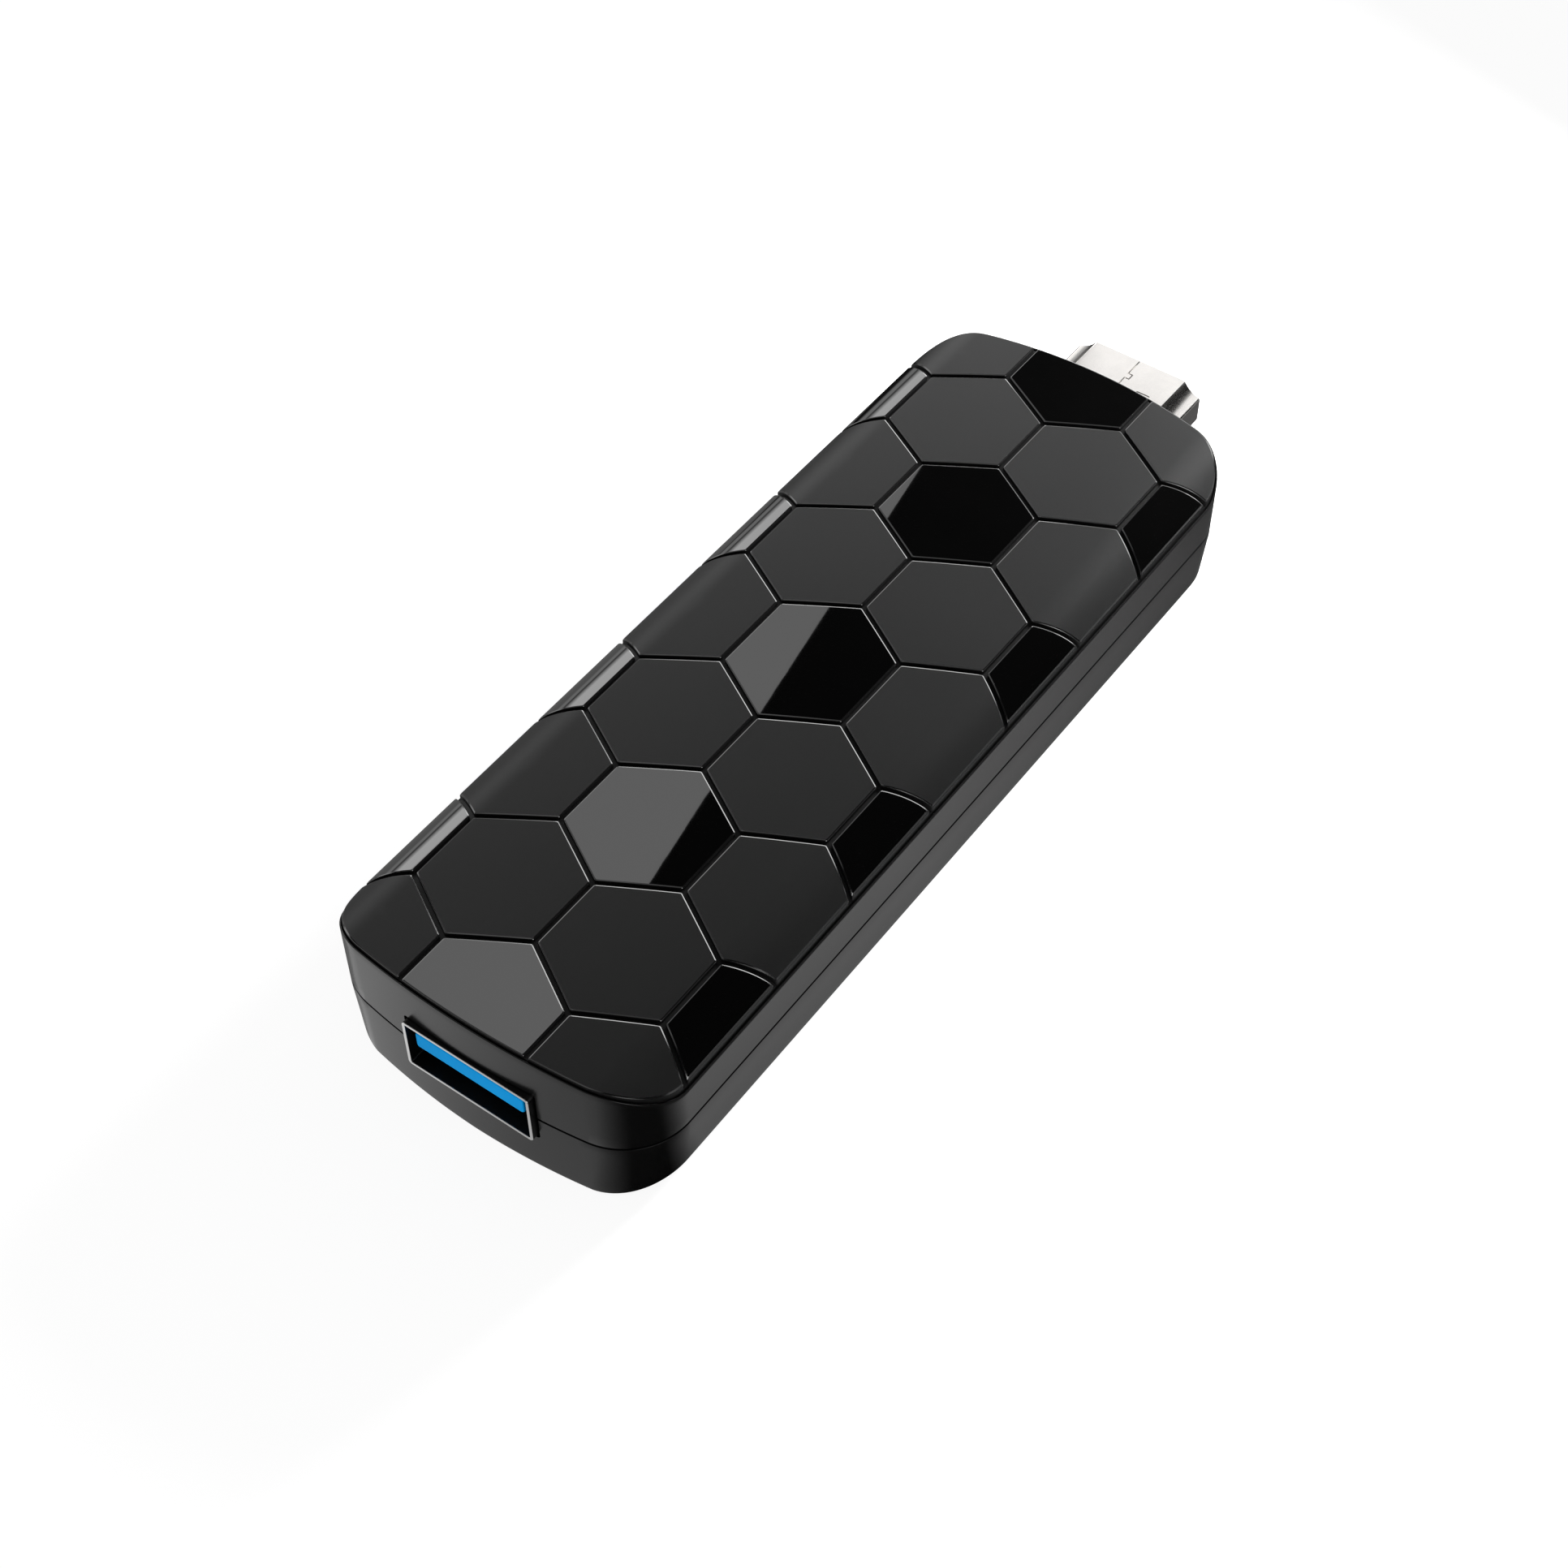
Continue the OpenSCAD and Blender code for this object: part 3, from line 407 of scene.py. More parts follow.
class Finish:
    # the node tree of a material or of the world, which is in .made
    def __init__(self, owner):
        self.made = owner
        owner.use_nodes = True
        self.tree = owner.node_tree
        self.tree.nodes.clear()

    def node(self, kind, settings=None, inputs=None):
        new = self.tree.nodes.new("ShaderNode" + kind)
        for key, value in (settings or {}).items():
            setattr(new, key, value)
        for key, value in (inputs or {}).items():
            if isinstance(value, Flow):
                self.tree.links.new(value.socket, new.inputs[key])
            else:
                new.inputs[key].default_value = value
        return new

    def flow(self, kind, settings=None, inputs=None, output=0):
        return Flow(self, self.node(kind, settings, inputs).outputs[output])

    def place(self):
        return self.flow("TexCoord", output="Object")

    def stretched(self, scale):
        return self.flow("Mapping", {}, {"Vector": self.place(), "Scale": scale})

    def noise(self, scale, detail=2.0, rough=0.5, vector=None):
        inputs = {"Vector": vector or self.place(), "Scale": scale, "Detail": detail, "Roughness": rough}
        return self.flow("TexNoise", {}, inputs)

    def cells(self, scale):
        return self.flow("TexVoronoi", {}, {"Vector": self.place(), "Scale": scale})

    def axes(self, vector=None):
        parts = self.node("SeparateXYZ", {}, {0: vector or self.place()})
        return [Flow(self, part) for part in parts.outputs]

    def ranged(self, value, low, high, newLow=0.0, newHigh=1.0):
        return self.flow("MapRange", {}, {0: value, 1: low, 2: high, 3: newLow, 4: newHigh})

    def blend(self, factor, first, second):
        inputs = {0: factor, 6: first, 7: second}
        return self.flow("Mix", {"data_type": "RGBA"}, inputs, output=2)

    def rays(self):
        # what a ray is: seen by the camera, or mirrored or passed through by metal and gloss
        path = self.node("LightPath")
        camera, gloss, glass = (Flow(self, path.outputs["Is " + kind + " Ray"])
                                for kind in ("Camera", "Glossy", "Transmission"))
        return camera, gloss + glass > 0.5

    def close(self, kind, shader):
        self.node("Output" + kind, {}, {"Surface": shader})
        return self.made

    def surface(self, colour, rough, height=None, strength=0.0, distance=0.00003, **others):
        # one Principled shader; a height becomes its bump, and others are its inputs by name
        inputs = {"Base Color": colour, "Roughness": rough}
        inputs.update({key.replace("_", " "): value for key, value in others.items()})
        if height:
            bump = {"Height": height, "Strength": strength, "Distance": distance}
            inputs["Normal"] = self.flow("Bump", {}, bump)
        return self.close("Material", self.flow("BsdfPrincipled", {}, inputs))


def newFinish(name):
    return Finish(bpy.data.materials.new(name))


def grey(value, warm=0.0):
    return (value * (1 + warm), value, value * (1 - warm), 1.0)


def shades(colour, *levels):
    return [tuple(min(1.0, level * c) for c in colour) + (1.0,) for level in levels]


# Finishes

plastic = dict(cloud=90.0, grain=9000.0, haze=260.0, grainDepth=0.00002, glossIndex=3.2)


def satinPlastic(name, colour, rough, grain, index=1.46):
    # moulded black plastic with a fine spark-eroded grain and slight cloudiness in its sheen
    f = newFinish(name)
    fine = f.noise(plastic["grain"], 2.0, 0.6)
    cloud = f.noise(plastic["cloud"], 2.0)
    tint = f.blend(f.ranged(fine, 0.3, 0.7), grey(colour * 0.86), grey(colour * 1.14))
    sheen = rough + (cloud - 0.5) * 0.05 + (fine - 0.5) * 0.08
    return f.surface(tint, sheen, fine, grain, plastic["grainDepth"], IOR=index)


def glossPlastic(name, colour, rough):
    # polished black plastic with a very faint haze
    f = newFinish(name)
    haze = f.noise(plastic["haze"], 3.0, 0.6)
    tint = f.blend(haze, grey(colour * 0.8), grey(colour * 1.2))
    return f.surface(tint, rough + (haze - 0.5) * 0.012, IOR=plastic["glossIndex"])


def platedMetal(name, colour, rough, along=(1.0, 0.06, 1.0), brush=7000.0, warm=0.03):
    # bright plating with fine rolling lines along one axis and a soft mottle
    f = newFinish(name)
    lines = f.noise(brush, 2.0, 0.6, f.stretched(along))
    mottle = f.noise(420.0, 3.0, 0.55)
    tint = f.blend(f.ranged(mottle, 0.3, 0.7), grey(colour * 0.95, warm), grey(colour * 1.03, warm))
    sheen = rough + (lines - 0.5) * 0.10 + (mottle - 0.5) * 0.06
    return f.surface(tint, sheen, lines, 0.05, 0.00002, Metallic=1.0)


def goldPlate(name):
    f = newFinish(name)
    mottle = f.noise(1500.0, 3.0)
    tint = f.blend(mottle, (0.78, 0.56, 0.22, 1), (0.86, 0.66, 0.30, 1))
    return f.surface(tint, 0.22 + (mottle - 0.5) * 0.12, Metallic=1.0)


def mouldedPlastic(name, colour, rough, grain=0.12, size=3000.0, level=0.5):
    # plain moulded insulator: small swirls in the colour and a matt grain
    f = newFinish(name)
    fine, swirl = f.noise(size, 2.0), f.noise(200.0, 2.0)
    tint = f.blend(f.ranged(swirl, 0.3, 0.7), *shades(colour, 0.9, 1.08))
    return f.surface(tint, rough + (fine - 0.5) * 0.12, fine, grain, Specular_IOR_Level=level)


def solderMask(name, colour, pitch):
    # glass-fibre board: solder mask over a faint weave, raised tracks that run both ways, and small vias
    f = newFinish(name)
    weave = f.flow("TexBrick", {"offset": 0.5}, {"Vector": f.place(), "Scale": 1400.0})
    x, y, _ = f.axes()
    bend = f.noise(130.0, 1.0) * 0.0025

    def comb(place, step, line):
        # distance from a row of lines, which lie mirrored at every step of the place
        wave = f.flow("Math", {"operation": "PINGPONG"}, {0: place + bend, 1: step})
        return abs(wave - line)

    area = f.noise(110.0, 0.0) > 0.5
    tracks = (comb(x, pitch, pitch / 2) < pitch * 0.16) * area
    lines = tracks + (comb(y, pitch * 1.7, pitch) < pitch * 0.18) * (1 - area)
    via = f.cells(620.0) < 0.16
    tint = f.blend(via * 0.8, f.blend(lines, *shades(colour, 0.75, 1.5)), (0.55, 0.5, 0.36, 1))
    return f.surface(tint, 0.34 + 0.1 * f.noise(2600.0), lines + weave * 0.1, 0.5, Metallic=via * 0.8)


def chipPackage(name):
    # black moulded package: matt, finely pitted, with a slightly paler skin in places
    f = newFinish(name)
    pits, skin = f.noise(9000.0, 2.0, 0.7), f.noise(500.0, 2.0)
    return f.surface(f.blend(skin, grey(0.022), grey(0.04)), 0.5 + 0.2 * pits, pits, 0.35)


def extrudedAluminium(name):
    f = newFinish(name)
    lines = f.noise(5200.0, 3.0, 0.6, f.stretched((1.0, 0.03, 1.0)))
    tint = f.blend(lines, grey(0.5), grey(0.62))
    return f.surface(tint, 0.34 + (lines - 0.5) * 0.2, lines, 0.12, 0.00004, Metallic=1.0)


def softPad(name, low, high):
    f = newFinish(name)
    pores = f.cells(5200.0)
    tint = f.blend(f.noise(800.0), low + (1,), high + (1,))
    return f.surface(tint, 0.75 + 0.1 * pores, pores, 0.3, 0.00005)


def firedCeramic(name):
    # speckled tan ceramic
    f = newFinish(name)
    speck = f.noise(4200.0, 3.0)
    tint = f.blend(speck, (0.42, 0.3, 0.17, 1), (0.6, 0.47, 0.3, 1))
    return f.surface(tint, 0.35 + 0.25 * speck, speck, 0.15)


finishes = {
    "cover_satin": satinPlastic("tileSatin", 0.0074, 0.40, 0.05),
    "tile_edge": satinPlastic("tileEdge", 0.004, 0.14, 0.02, 2.2),
    "cover_gloss": glossPlastic("tileGloss", 0.0006, 0.02),
    "cover_base": satinPlastic("coverGroove", 0.004, 0.5, 0.1),
    "housing_plastic": satinPlastic("caseSatin", 0.003, 0.22, 0.03),
    "board_green": solderMask("boardGreen", (0.012, 0.10, 0.05), 0.0009),
    "module_blue": solderMask("moduleBlue", (0.01, 0.045, 0.12), 0.0007),
    "screw_steel": platedMetal("screwSteel", 0.62, 0.3, (1, 1, 0.2), 5000.0, 0.0),
    "plug_metal": platedMetal("plugNickel", 0.88, 0.24),
    "port_metal": platedMetal("portNickel", 0.80, 0.24, (1, 0.05, 1), 6500.0, 0.005),
    # near-black plating: painted shade on the USB shell away from its bright lip
    "port_painted_shade": platedMetal("portPaintedShade", 0.05, 0.40, (1, 0.05, 1), 6500.0, 0.0),
    "can_metal": platedMetal("canTin", 0.7, 0.32, (0.08, 1, 1), 6000.0, 0.01),
    "plug_insulator": mouldedPlastic("plugInsulator", (0.72, 0.71, 0.67), 0.45),
    "contact_gold": goldPlate("contactGold"),
    "tongue_blue": mouldedPlastic("tongueBlue", (0.001, 0.235, 0.56), 0.5, 0.05, level=0.06),
    "socket_black": mouldedPlastic("socketBlack", (0.012, 0.012, 0.013), 0.5),
    "plunger_white": mouldedPlastic("plungerWhite", (0.7, 0.69, 0.64), 0.45),
    "button_black": satinPlastic("buttonSatin", 0.014, 0.38, 0.14),
    "chip_black": chipPackage("chipBlack"),
    "pad_rubber": softPad("padSilicone", (0.3, 0.38, 0.46), (0.42, 0.5, 0.58)),
    "grip_rubber": softPad("gripRubber", (0.012, 0.012, 0.012), (0.024, 0.024, 0.024)),
    "sink_aluminium": extrudedAluminium("sinkAluminium"),
    "ferrite_grey": mouldedPlastic("ferriteGrey", (0.07, 0.07, 0.075), 0.6, 0.5, 5000.0),
    "ceramic_tan": firedCeramic("ceramicTan"),
}
print("finishes made:", len(finishes))


# Honeycomb tiles. An edge row is (inset, drop below the crown, lean of the surface in degrees).

honeycomb = dict(side=7.4, stretch=1.2, groove=0.42, edgeInset=0.27, cornerBlend=0.12, angles=160,
                 search=90, within=0.25, leastInside=60, reach=20.0, halvings=34, fineAngles=1440,
                 bendShare=1.3, slopeStep=1e-4,
                 edge=[(0, 0.47, 90), (0, 0.3, 90), (0, 0.08, 90), (0.004, 0.073, 58), (0.024, 0.042, 58),
                       (0.03, 0.037, 21), (0.118, 0.003, 21), (0.126, 0, 0), (0.16, 0, 0)],
                 underShares=(0.0, 0.5), faceShares=(0.88, 0.7, 0.5, 0.28, 0.0))


def junctionY(v):
    return np.sign(v) * (abs(v) * honeycomb["side"] + honeycomb["stretch"]) / 2


def hexagonCorners(u, v):
    across = honeycomb["side"] * sqrt(3) / 2
    steps = [(u, v - 2), (u + 1, v - 1), (u + 1, v + 1), (u, v + 2), (u - 1, v + 1), (u - 1, v - 1)]
    return np.array([(a * across, junctionY(b)) for a, b in steps])


def smoothMax(a, b, k):
    # the larger of two values, with a round passage between them
    h = np.maximum(k - np.abs(a - b), 0) / k
    return np.maximum(a, b) + h * h * k / 4


def tileDistance(corners, x, y):
    # how far a point lies outside one tile: its six sides and the cover's edge, passed over smoothly
    total = outlineDistance(x, y, honeycomb["edgeInset"])
    for (ax, ay), (bx, by) in zip(corners, np.roll(corners, -1, axis=0)):
        length = hypot(bx - ax, by - ay)
        nx, ny = (by - ay) / length, -(bx - ax) / length
        side = nx * (x - ax) + ny * (y - ay) + honeycomb["groove"] / 2
        total = smoothMax(total, side, honeycomb["cornerBlend"])
    return total


def edgeReach(corners, centre, angle, inset):
    # distance from the tile's centre to the line that runs an inset inside its edge, found by halving
    low, high = np.zeros_like(angle + inset), np.full_like(angle + inset, honeycomb["reach"])
    for _ in range(honeycomb["halvings"]):
        middle = (low + high) / 2
        x, y = centre[0] + middle * np.cos(angle), centre[1] + middle * np.sin(angle)
        outside = tileDistance(corners, x, y) > -inset
        low, high = np.where(outside, low, middle), np.where(outside, middle, high)
    return (low + high) / 2


def edgeAngles(corners, centre):
    # angles round a tile's centre, closer together where its edge bends
    fine = np.linspace(0, 2 * pi, honeycomb["fineAngles"], endpoint=False)
    reach = edgeReach(corners, centre, fine, np.zeros(1))
    edge = centre + reach[:, None] * np.stack([np.cos(fine), np.sin(fine)], -1)
    stepTo = np.roll(edge, -1, axis=0) - edge
    length = np.linalg.norm(stepTo, axis=1)
    heading = np.unwrap(np.arctan2(stepTo[:, 1], stepTo[:, 0]))
    bend = np.abs(np.roll(heading, -1) - heading)
    bend = np.minimum(bend, np.abs(bend - 2 * pi))
    weight = np.cumsum(length / length.sum() + honeycomb["bendShare"] * bend / bend.sum())
    count = honeycomb["angles"]
    return np.interp(np.arange(count) / count * weight[-1], weight, fine)


def tile(u, v):
    # one tile as rings round its centre: out under it, up its wall, over its edge facets, and in across
    # the crowned face. Gives points, quads, normals and marks: 0 face, 1 edge facets, 2 wall and underside.
    corners = hexagonCorners(u, v)
    low, high = corners.min(0), corners.max(0)
    gx, gy = np.meshgrid(*(np.linspace(low[k], high[k], honeycomb["search"]) for k in (0, 1)))
    inside = tileDistance(corners, gx, gy) < -honeycomb["within"]
    if inside.sum() < honeycomb["leastInside"]:
        return None
    centre = np.array([gx[inside].mean(), gy[inside].mean()])
    angle = edgeAngles(corners, centre)
    insets, drops, lean = np.array(honeycomb["edge"], float).T
    reach = edgeReach(corners, centre, angle[None, :] + 0 * insets[:, None], insets[:, None])
    under, face = (np.array(honeycomb[k]) for k in ("underShares", "faceShares"))
    reach = np.vstack([under[:, None] * reach[0], reach, face[:, None] * reach[-1]])
    drops = np.concatenate([0 * under + drops[0], drops, 0 * face])
    lean = np.radians(np.concatenate([0 * under + 180, lean, 0 * face]))
    x = centre[0] + reach * np.cos(angle)
    y = centre[1] + reach * np.sin(angle)
    z = crownHeight(x, drops[:, None])
    wallX, wallY, e = x[len(under)], y[len(under)], honeycomb["slopeStep"]
    outX = tileDistance(corners, wallX + e, wallY) - tileDistance(corners, wallX - e, wallY)
    outY = tileDistance(corners, wallX, wallY + e) - tileDistance(corners, wallX, wallY - e)
    out = np.stack([outX, outY, 0 * outX], -1)
    out /= np.linalg.norm(out, axis=1, keepdims=True)
    up = crownNormal(x.ravel()).reshape(x.shape + (3,))
    normal = np.cos(lean)[:, None, None] * up + np.sin(lean)[:, None, None] * out[None]
    normal /= np.linalg.norm(normal, axis=2, keepdims=True)
    points = np.stack([x, y, z], -1).reshape(-1, 3)
    facet = np.where(lean[:-1] > 1.5, 2, lean[:-1] > 0.1)
    marks = np.repeat(facet, len(angle)).astype(np.int32)
    return points, gridQuads(len(drops), len(angle)), normal.reshape(-1, 3), marks


satinTiles, glossTiles = [], []
for row in range(-5, 6):
    for u in range(-4, 5):
        onGrid = (u - row) % 2 == 0 and (row % 2 == 0) == (u % 2 == 0)
        made = tile(u, 3 * row) if onGrid else None
        if made:
            glossy = u == 0 if row % 2 == 0 else abs(u) == 3
            (glossTiles if glossy else satinTiles).append(made)

tileSets = {"satinTiles": (satinTiles, "cover_satin"), "glossTiles": (glossTiles, "cover_gloss")}
for name, (tiles, face) in tileSets.items():
    piece = putMesh(name, [t[:2] for t in tiles], [t[2] for t in tiles], [t[3] for t in tiles])
    finishPiece(piece, "cover_satin", made=[face, "tile_edge", "cover_base"], weigh=False)
print("tiles made:", len(satinTiles), "satin and", len(glossTiles), "glossy")


# Cover under the tiles: a crowned plate with six posts

cover = dict(inset=0.3, top=0.4, edge=0.75, bottom=1.4, insets=(1.8, 3.0, 4.5, 5.8), topInset=1.0,
             postRadius=0.8, postX=8.45, postYs=(-34.05, 0, 34.05), postFoot=12.4, postTop=13.6,
             postEdge=0.2)
rings = crossing(onCrown, cover["top"])[::-1]
rings += [onCrown(inset, cover["top"]) for inset in (*cover["insets"][::-1], cover["topInset"])]
rings += [onCrown(cover["inset"], drop) for drop in (cover["top"], cover["edge"], cover["bottom"])]
rings += [onCrown(inset, cover["bottom"]) for inset in cover["insets"]]
rings += crossing(onCrown, cover["bottom"])
r, foot, top, e = cover["postRadius"], cover["postFoot"], cover["postTop"], cover["postEdge"]
post = [(0, foot), (r - e, foot), (r, foot + e), (r, top), (0, top)]
posts = [turned(post, place, 32) for place in bothSides(cover["postX"], cover["postYs"])]
piece = putMesh("coverBase", [shell(rings, False)] + posts)
finishPiece(piece, "cover_satin", "top_cover", made=["cover_base"])


# Upper housing: the groove under its wall, the seam, the wall, the round rim, and the web under the cover

upper = dict(rimWidth=0.15, rimDrop=0.30, rimRound=0.05, webTop=1.4, webUnder=2.2, webEdge=1.8,
             webInsets=(3.6, 5.8), grooveInset=0.9, grooveTop=8.5, seamRound=0.03,
             wallShares=(0.2, 0.45, 0.7, 0.9))
parting, seamTop = case["parting"], case["parting"] + case["seam"]
rings = [onLevel(upper["grooveInset"], upper["grooveTop"]), onLevel(upper["grooveInset"], parting)]
rings += [onLevel(case["seamDepth"], parting), onLevel(case["seamDepth"], seamTop)]
rings += [onLevel(inset, seamTop + depth) for inset, depth in rim(upper["seamRound"])]
wallFoot = seamTop + upper["seamRound"]
wallTop = crownHeight(loopPoints[:, 0], upper["rimDrop"] + upper["rimRound"])
rings += [np.column_stack([loopPoints, wallFoot + s * (wallTop - wallFoot)]) for s in upper["wallShares"]]
rimArc = rim(upper["rimRound"])
rings += [onCrown(inset, upper["rimDrop"] + depth) for inset, depth in rimArc[::-1]]
rings += [onCrown(upper["rimWidth"] - inset, upper["rimDrop"] + depth) for inset, depth in rimArc]
webTopInsets = (upper["rimWidth"], upper["webEdge"], *upper["webInsets"])
rings += [onCrown(inset, upper["webTop"]) for inset in webTopInsets]
rings += crossing(onCrown, upper["webTop"]) + crossing(onCrown, upper["webUnder"])[::-1]
rings += [onCrown(inset, upper["webUnder"]) for inset in (*upper["webInsets"][::-1], case["wall"])]
rings += [onLevel(case["wall"], upper["grooveTop"])]
upperPiece = putMesh("upperHousing", [shell(rings, True)])


# Lower housing: the tongue, the seam, the leaning wall, the round foot, the rolled underside, and the floor

lower = dict(edgeRound=0.6, footSteps=7, footLean=0.8, seamRound=0.03, tongueInset=1.0, tongueTop=8.4,
             floorRim=6.0, wallShares=(0.12, 0.3, 0.5, 0.7, 0.86), outInsets=(1.6, 2.4, 3.4, 4.6, 5.8),
             inInsets=(5.8, 4.0, 2.4), ventLength=8.0, ventWidth=1.2, ventPitch=2.88, ventX=5.6,
             ventCentre=-12.0, vents=9, ventEdge=0.12, bossRadius=2.1, bossX=11.73, bossYs=(-37.45, 34.65),
             bossFoot=1.0, bossTop=6.4, bossEdge=0.2, boreRadius=0.8, boreFoot=2.0)


def draftInset(z):
    # the two long walls lean in towards the underside, by as much as each wall faces sideways
    return np.abs(loopOut[:, 0]) * np.maximum(0, case["draft"] * (1 - z / case["draftTop"]))


def wallRing(z):
    return np.column_stack([ringAt(draftInset(z)), z])


r, s = lower["edgeRound"], lower["seamRound"]
foot = onBelly(case["draft"] * np.abs(loopOut[:, 0]), 0)[:, 2]
rings = [onLevel(lower["tongueInset"], lower["tongueTop"]), onLevel(lower["tongueInset"], parting)]
rings += [onLevel(inset, parting - depth) for inset, depth in rim(s)]
rings += [wallRing(parting - s + share * (foot + r - parting + s)) for share in lower["wallShares"]]
for inset, depth in rim(r, lower["footSteps"])[::-1]:
    ring = ringAt(draftInset(foot + lower["footLean"] * depth) + inset)
    rings.append(np.column_stack([ring, bellyHeight(ring[:, 0], 0) + depth]))
rings += [onBelly(inset, 0) for inset in lower["outInsets"]]
rings += crossing(onBelly, 0) + crossing(onBelly, case["floor"])[::-1]
rings += [onBelly(inset, case["floor"]) for inset in (*lower["inInsets"], case["wall"])]
rings += [onLevel(case["wall"], lower["floorRim"]), onLevel(case["wall"], lower["tongueTop"])]
lowerPiece = putMesh("lowerHousing", [shell(rings, True)])
print("housings made")

pads = dict(radius=2.2, x=7.9, ys=(-37.55, 37.55), height=0.6, gap=0.1, round=0.15, dish=(0.03, 0.02),
            dishShare=0.55)
padPlaces = bothSides(pads["x"], pads["ys"])
r, h, b = pads["radius"], pads["height"], pads["round"]
profile = [(0, pads["dish"][0]), (r * pads["dishShare"], pads["dish"][1]), (r - 2 * b, 0.0)]
profile += [(r - inset, depth) for inset, depth in rim(b)] + [(r, h), (0, h)]
grips = putMesh("gripPads", [turned(profile, place, 64) for place in padPlaces])
finishPiece(grips, "grip_rubber", "grip_pads")

r, foot, top, e = lower["bossRadius"], lower["bossFoot"], lower["bossTop"], lower["bossEdge"]
bore, boreFoot = lower["boreRadius"], lower["boreFoot"]
boss = [(0, foot), (r, foot), (r, top - e), (r - e, top), (bore, top), (bore, boreFoot), (0, boreFoot)]
bosses = [turned(boss, place, 40) for place in bothSides(lower["bossX"], lower["bossYs"])]
finishPiece(putMesh("boardBosses", bosses), "housing_plastic")


# Video plug: a folded shell with a seam, a slotted core, and nineteen contacts in two rows

plug = dict(x=0.9, z=7.4, width=13.9, height=4.45, topWidth=10.1, sideHeight=3.1, shoulder=2.8,
            sheet=0.3, back=38.45, front=54.5, lip=0.1, round=0.33, innerRound=0.06, footCut=0.42,
            latchX=2.75, latchSize=(1.5, 2.2), latchY=49.35, latchRound=0.15, latchDepth=0.07,
            seam=0.12, seamDepth=0.4, tabWidth=0.6, tabFrom=51.4, tabTo=52.25,
            coreGap=0.01, coreRound=0.16, coreBack=38.95, coreFront=54.1, coreEdge=0.1,
            slotSize=(11.4, 1.5), slotUp=1.75, slotRound=0.15, slotBack=47.7, slotEdge=0.15,
            pins=19, pitch=0.5, pinUp=(2.42, 0.92), pinSize=(0.15, 0.16), pinPlaces=(47.75, 53.3),
            grooveUp=(2.4, 0.75), grooveSize=(0.17, 0.35), beyond=56.0)


def plugLoop(inset, radius, steps=5):
    # plug outline: flat foot with cut corners, straight sides, hollow shoulders and a narrow top
    w, t = plug["width"] / 2 - inset, plug["topWidth"] / 2
    dx, dz = plug["width"] / 2 - t, plug["height"] - plug["sideHeight"]
    chord = hypot(dx, dz)
    rise = sqrt(plug["shoulder"] ** 2 - chord ** 2 / 4)
    cx = (t + plug["width"] / 2) / 2 + rise * dz / chord
    cz = (plug["height"] + plug["sideHeight"]) / 2 + rise * dx / chord
    r = plug["shoulder"] + inset
    start = -pi + acos(np.clip((cx - w) / r, -1, 1))
    end = -pi - asin(np.clip((plug["height"] - inset - cz) / r, -1, 1))
    arc = np.linspace(start, end, 8)
    shoulder = np.stack([cx + r * np.cos(arc), cz + r * np.sin(arc)], -1)
    cut = plug["footCut"] - 0.4 * inset
    half = np.vstack([[(w - cut, inset), (w, inset + cut)], shoulder])
    corners = np.vstack([half, (half * [-1, 1])[::-1]])
    radii = [radius, radius, radius] + [0] * 6 + [radius]
    return roundedLoop(corners, radii + radii[::-1], steps)


centre = (plug["x"], 0, plug["z"])
outer, inner = plugLoop(0, plug["round"]), plugLoop(plug["sheet"], plug["innerRound"])
tube = carryTube(outer, inner, tubePath(plug["back"], plug["front"], plug["lip"]), "y", centre)
shellPiece = putMesh("plugShell", [tube])
top = plug["z"] + plug["height"]
latch = roundRectLoop(plug["latchSize"], plug["latchRound"], 4)
latchPath = [(0, top - plug["latchDepth"]), (0, top + 1)]
carve(shellPiece, [carryLoop(latch, latchPath, "z", (plug["x"] + side * plug["latchX"], plug["latchY"], 0))
                   for side in (-1, 1)])
# the seam runs along the top, round three sides of a small tab, and on to the front
seam, half, tabFrom, tabTo = plug["seam"], plug["seam"] / 2, plug["tabFrom"], plug["tabTo"]
x0, tabX = plug["x"] - half, plug["x"] - half + plug["tabWidth"]
strips = [((x0, plug["back"] - half), (x0 + seam, tabFrom + seam)),
          ((x0 + half, tabFrom), (tabX, tabFrom + seam)),
          ((tabX - seam, tabFrom + half), (tabX, tabTo)),
          ((x0, tabTo - seam), (tabX - half, tabTo)),
          ((x0, tabTo - half), (x0 + seam, plug["beyond"]))]
for start, end in strips:
    carve(shellPiece, [box((*start, top - plug["seamDepth"]), (*end, top + 0.5))])
finishPiece(shellPiece, "plug_metal", "hdmi_shell")


def pinEnds(ups, size, back, front):
    # low and high corner for each contact: the two rows alternate, and a size is half a width and a height
    ends = []
    for k in range(plug["pins"]):
        x, z = plug["x"] + (k - (plug["pins"] - 1) / 2) * plug["pitch"], plug["z"] + ups[k % 2]
        ends.append(((x - size[0], back, z), (x + size[0], front, z + size[1])))
    return ends


front, edge, slotEdge = plug["coreFront"], plug["coreEdge"], plug["slotEdge"]
coreLoop = plugLoop(plug["sheet"] + plug["coreGap"], plug["coreRound"])
corePath = [(0, plug["coreBack"]), (0, front - edge), (edge, front)]
core = putMesh("plugCore", [carryLoop(coreLoop, corePath, "y", centre)])
slotPath = [(0, plug["slotBack"]), (0, front - slotEdge), (-slotEdge, front), (-slotEdge, plug["beyond"])]
slotLoop = roundRectLoop(plug["slotSize"], plug["slotRound"], 3)
carve(core, [carryLoop(slotLoop, slotPath, "y", (plug["x"], 0, plug["z"] + plug["slotUp"]))])
grooves = pinEnds(plug["grooveUp"], plug["grooveSize"], plug["slotBack"], plug["beyond"])
carve(core, [box(*ends) for ends in grooves])
finishPiece(core, "plug_insulator", "hdmi_core")
pins = [roundedBox(*ends, 0.04, 2) for ends in pinEnds(plug["pinUp"], plug["pinSize"], *plug["pinPlaces"])]
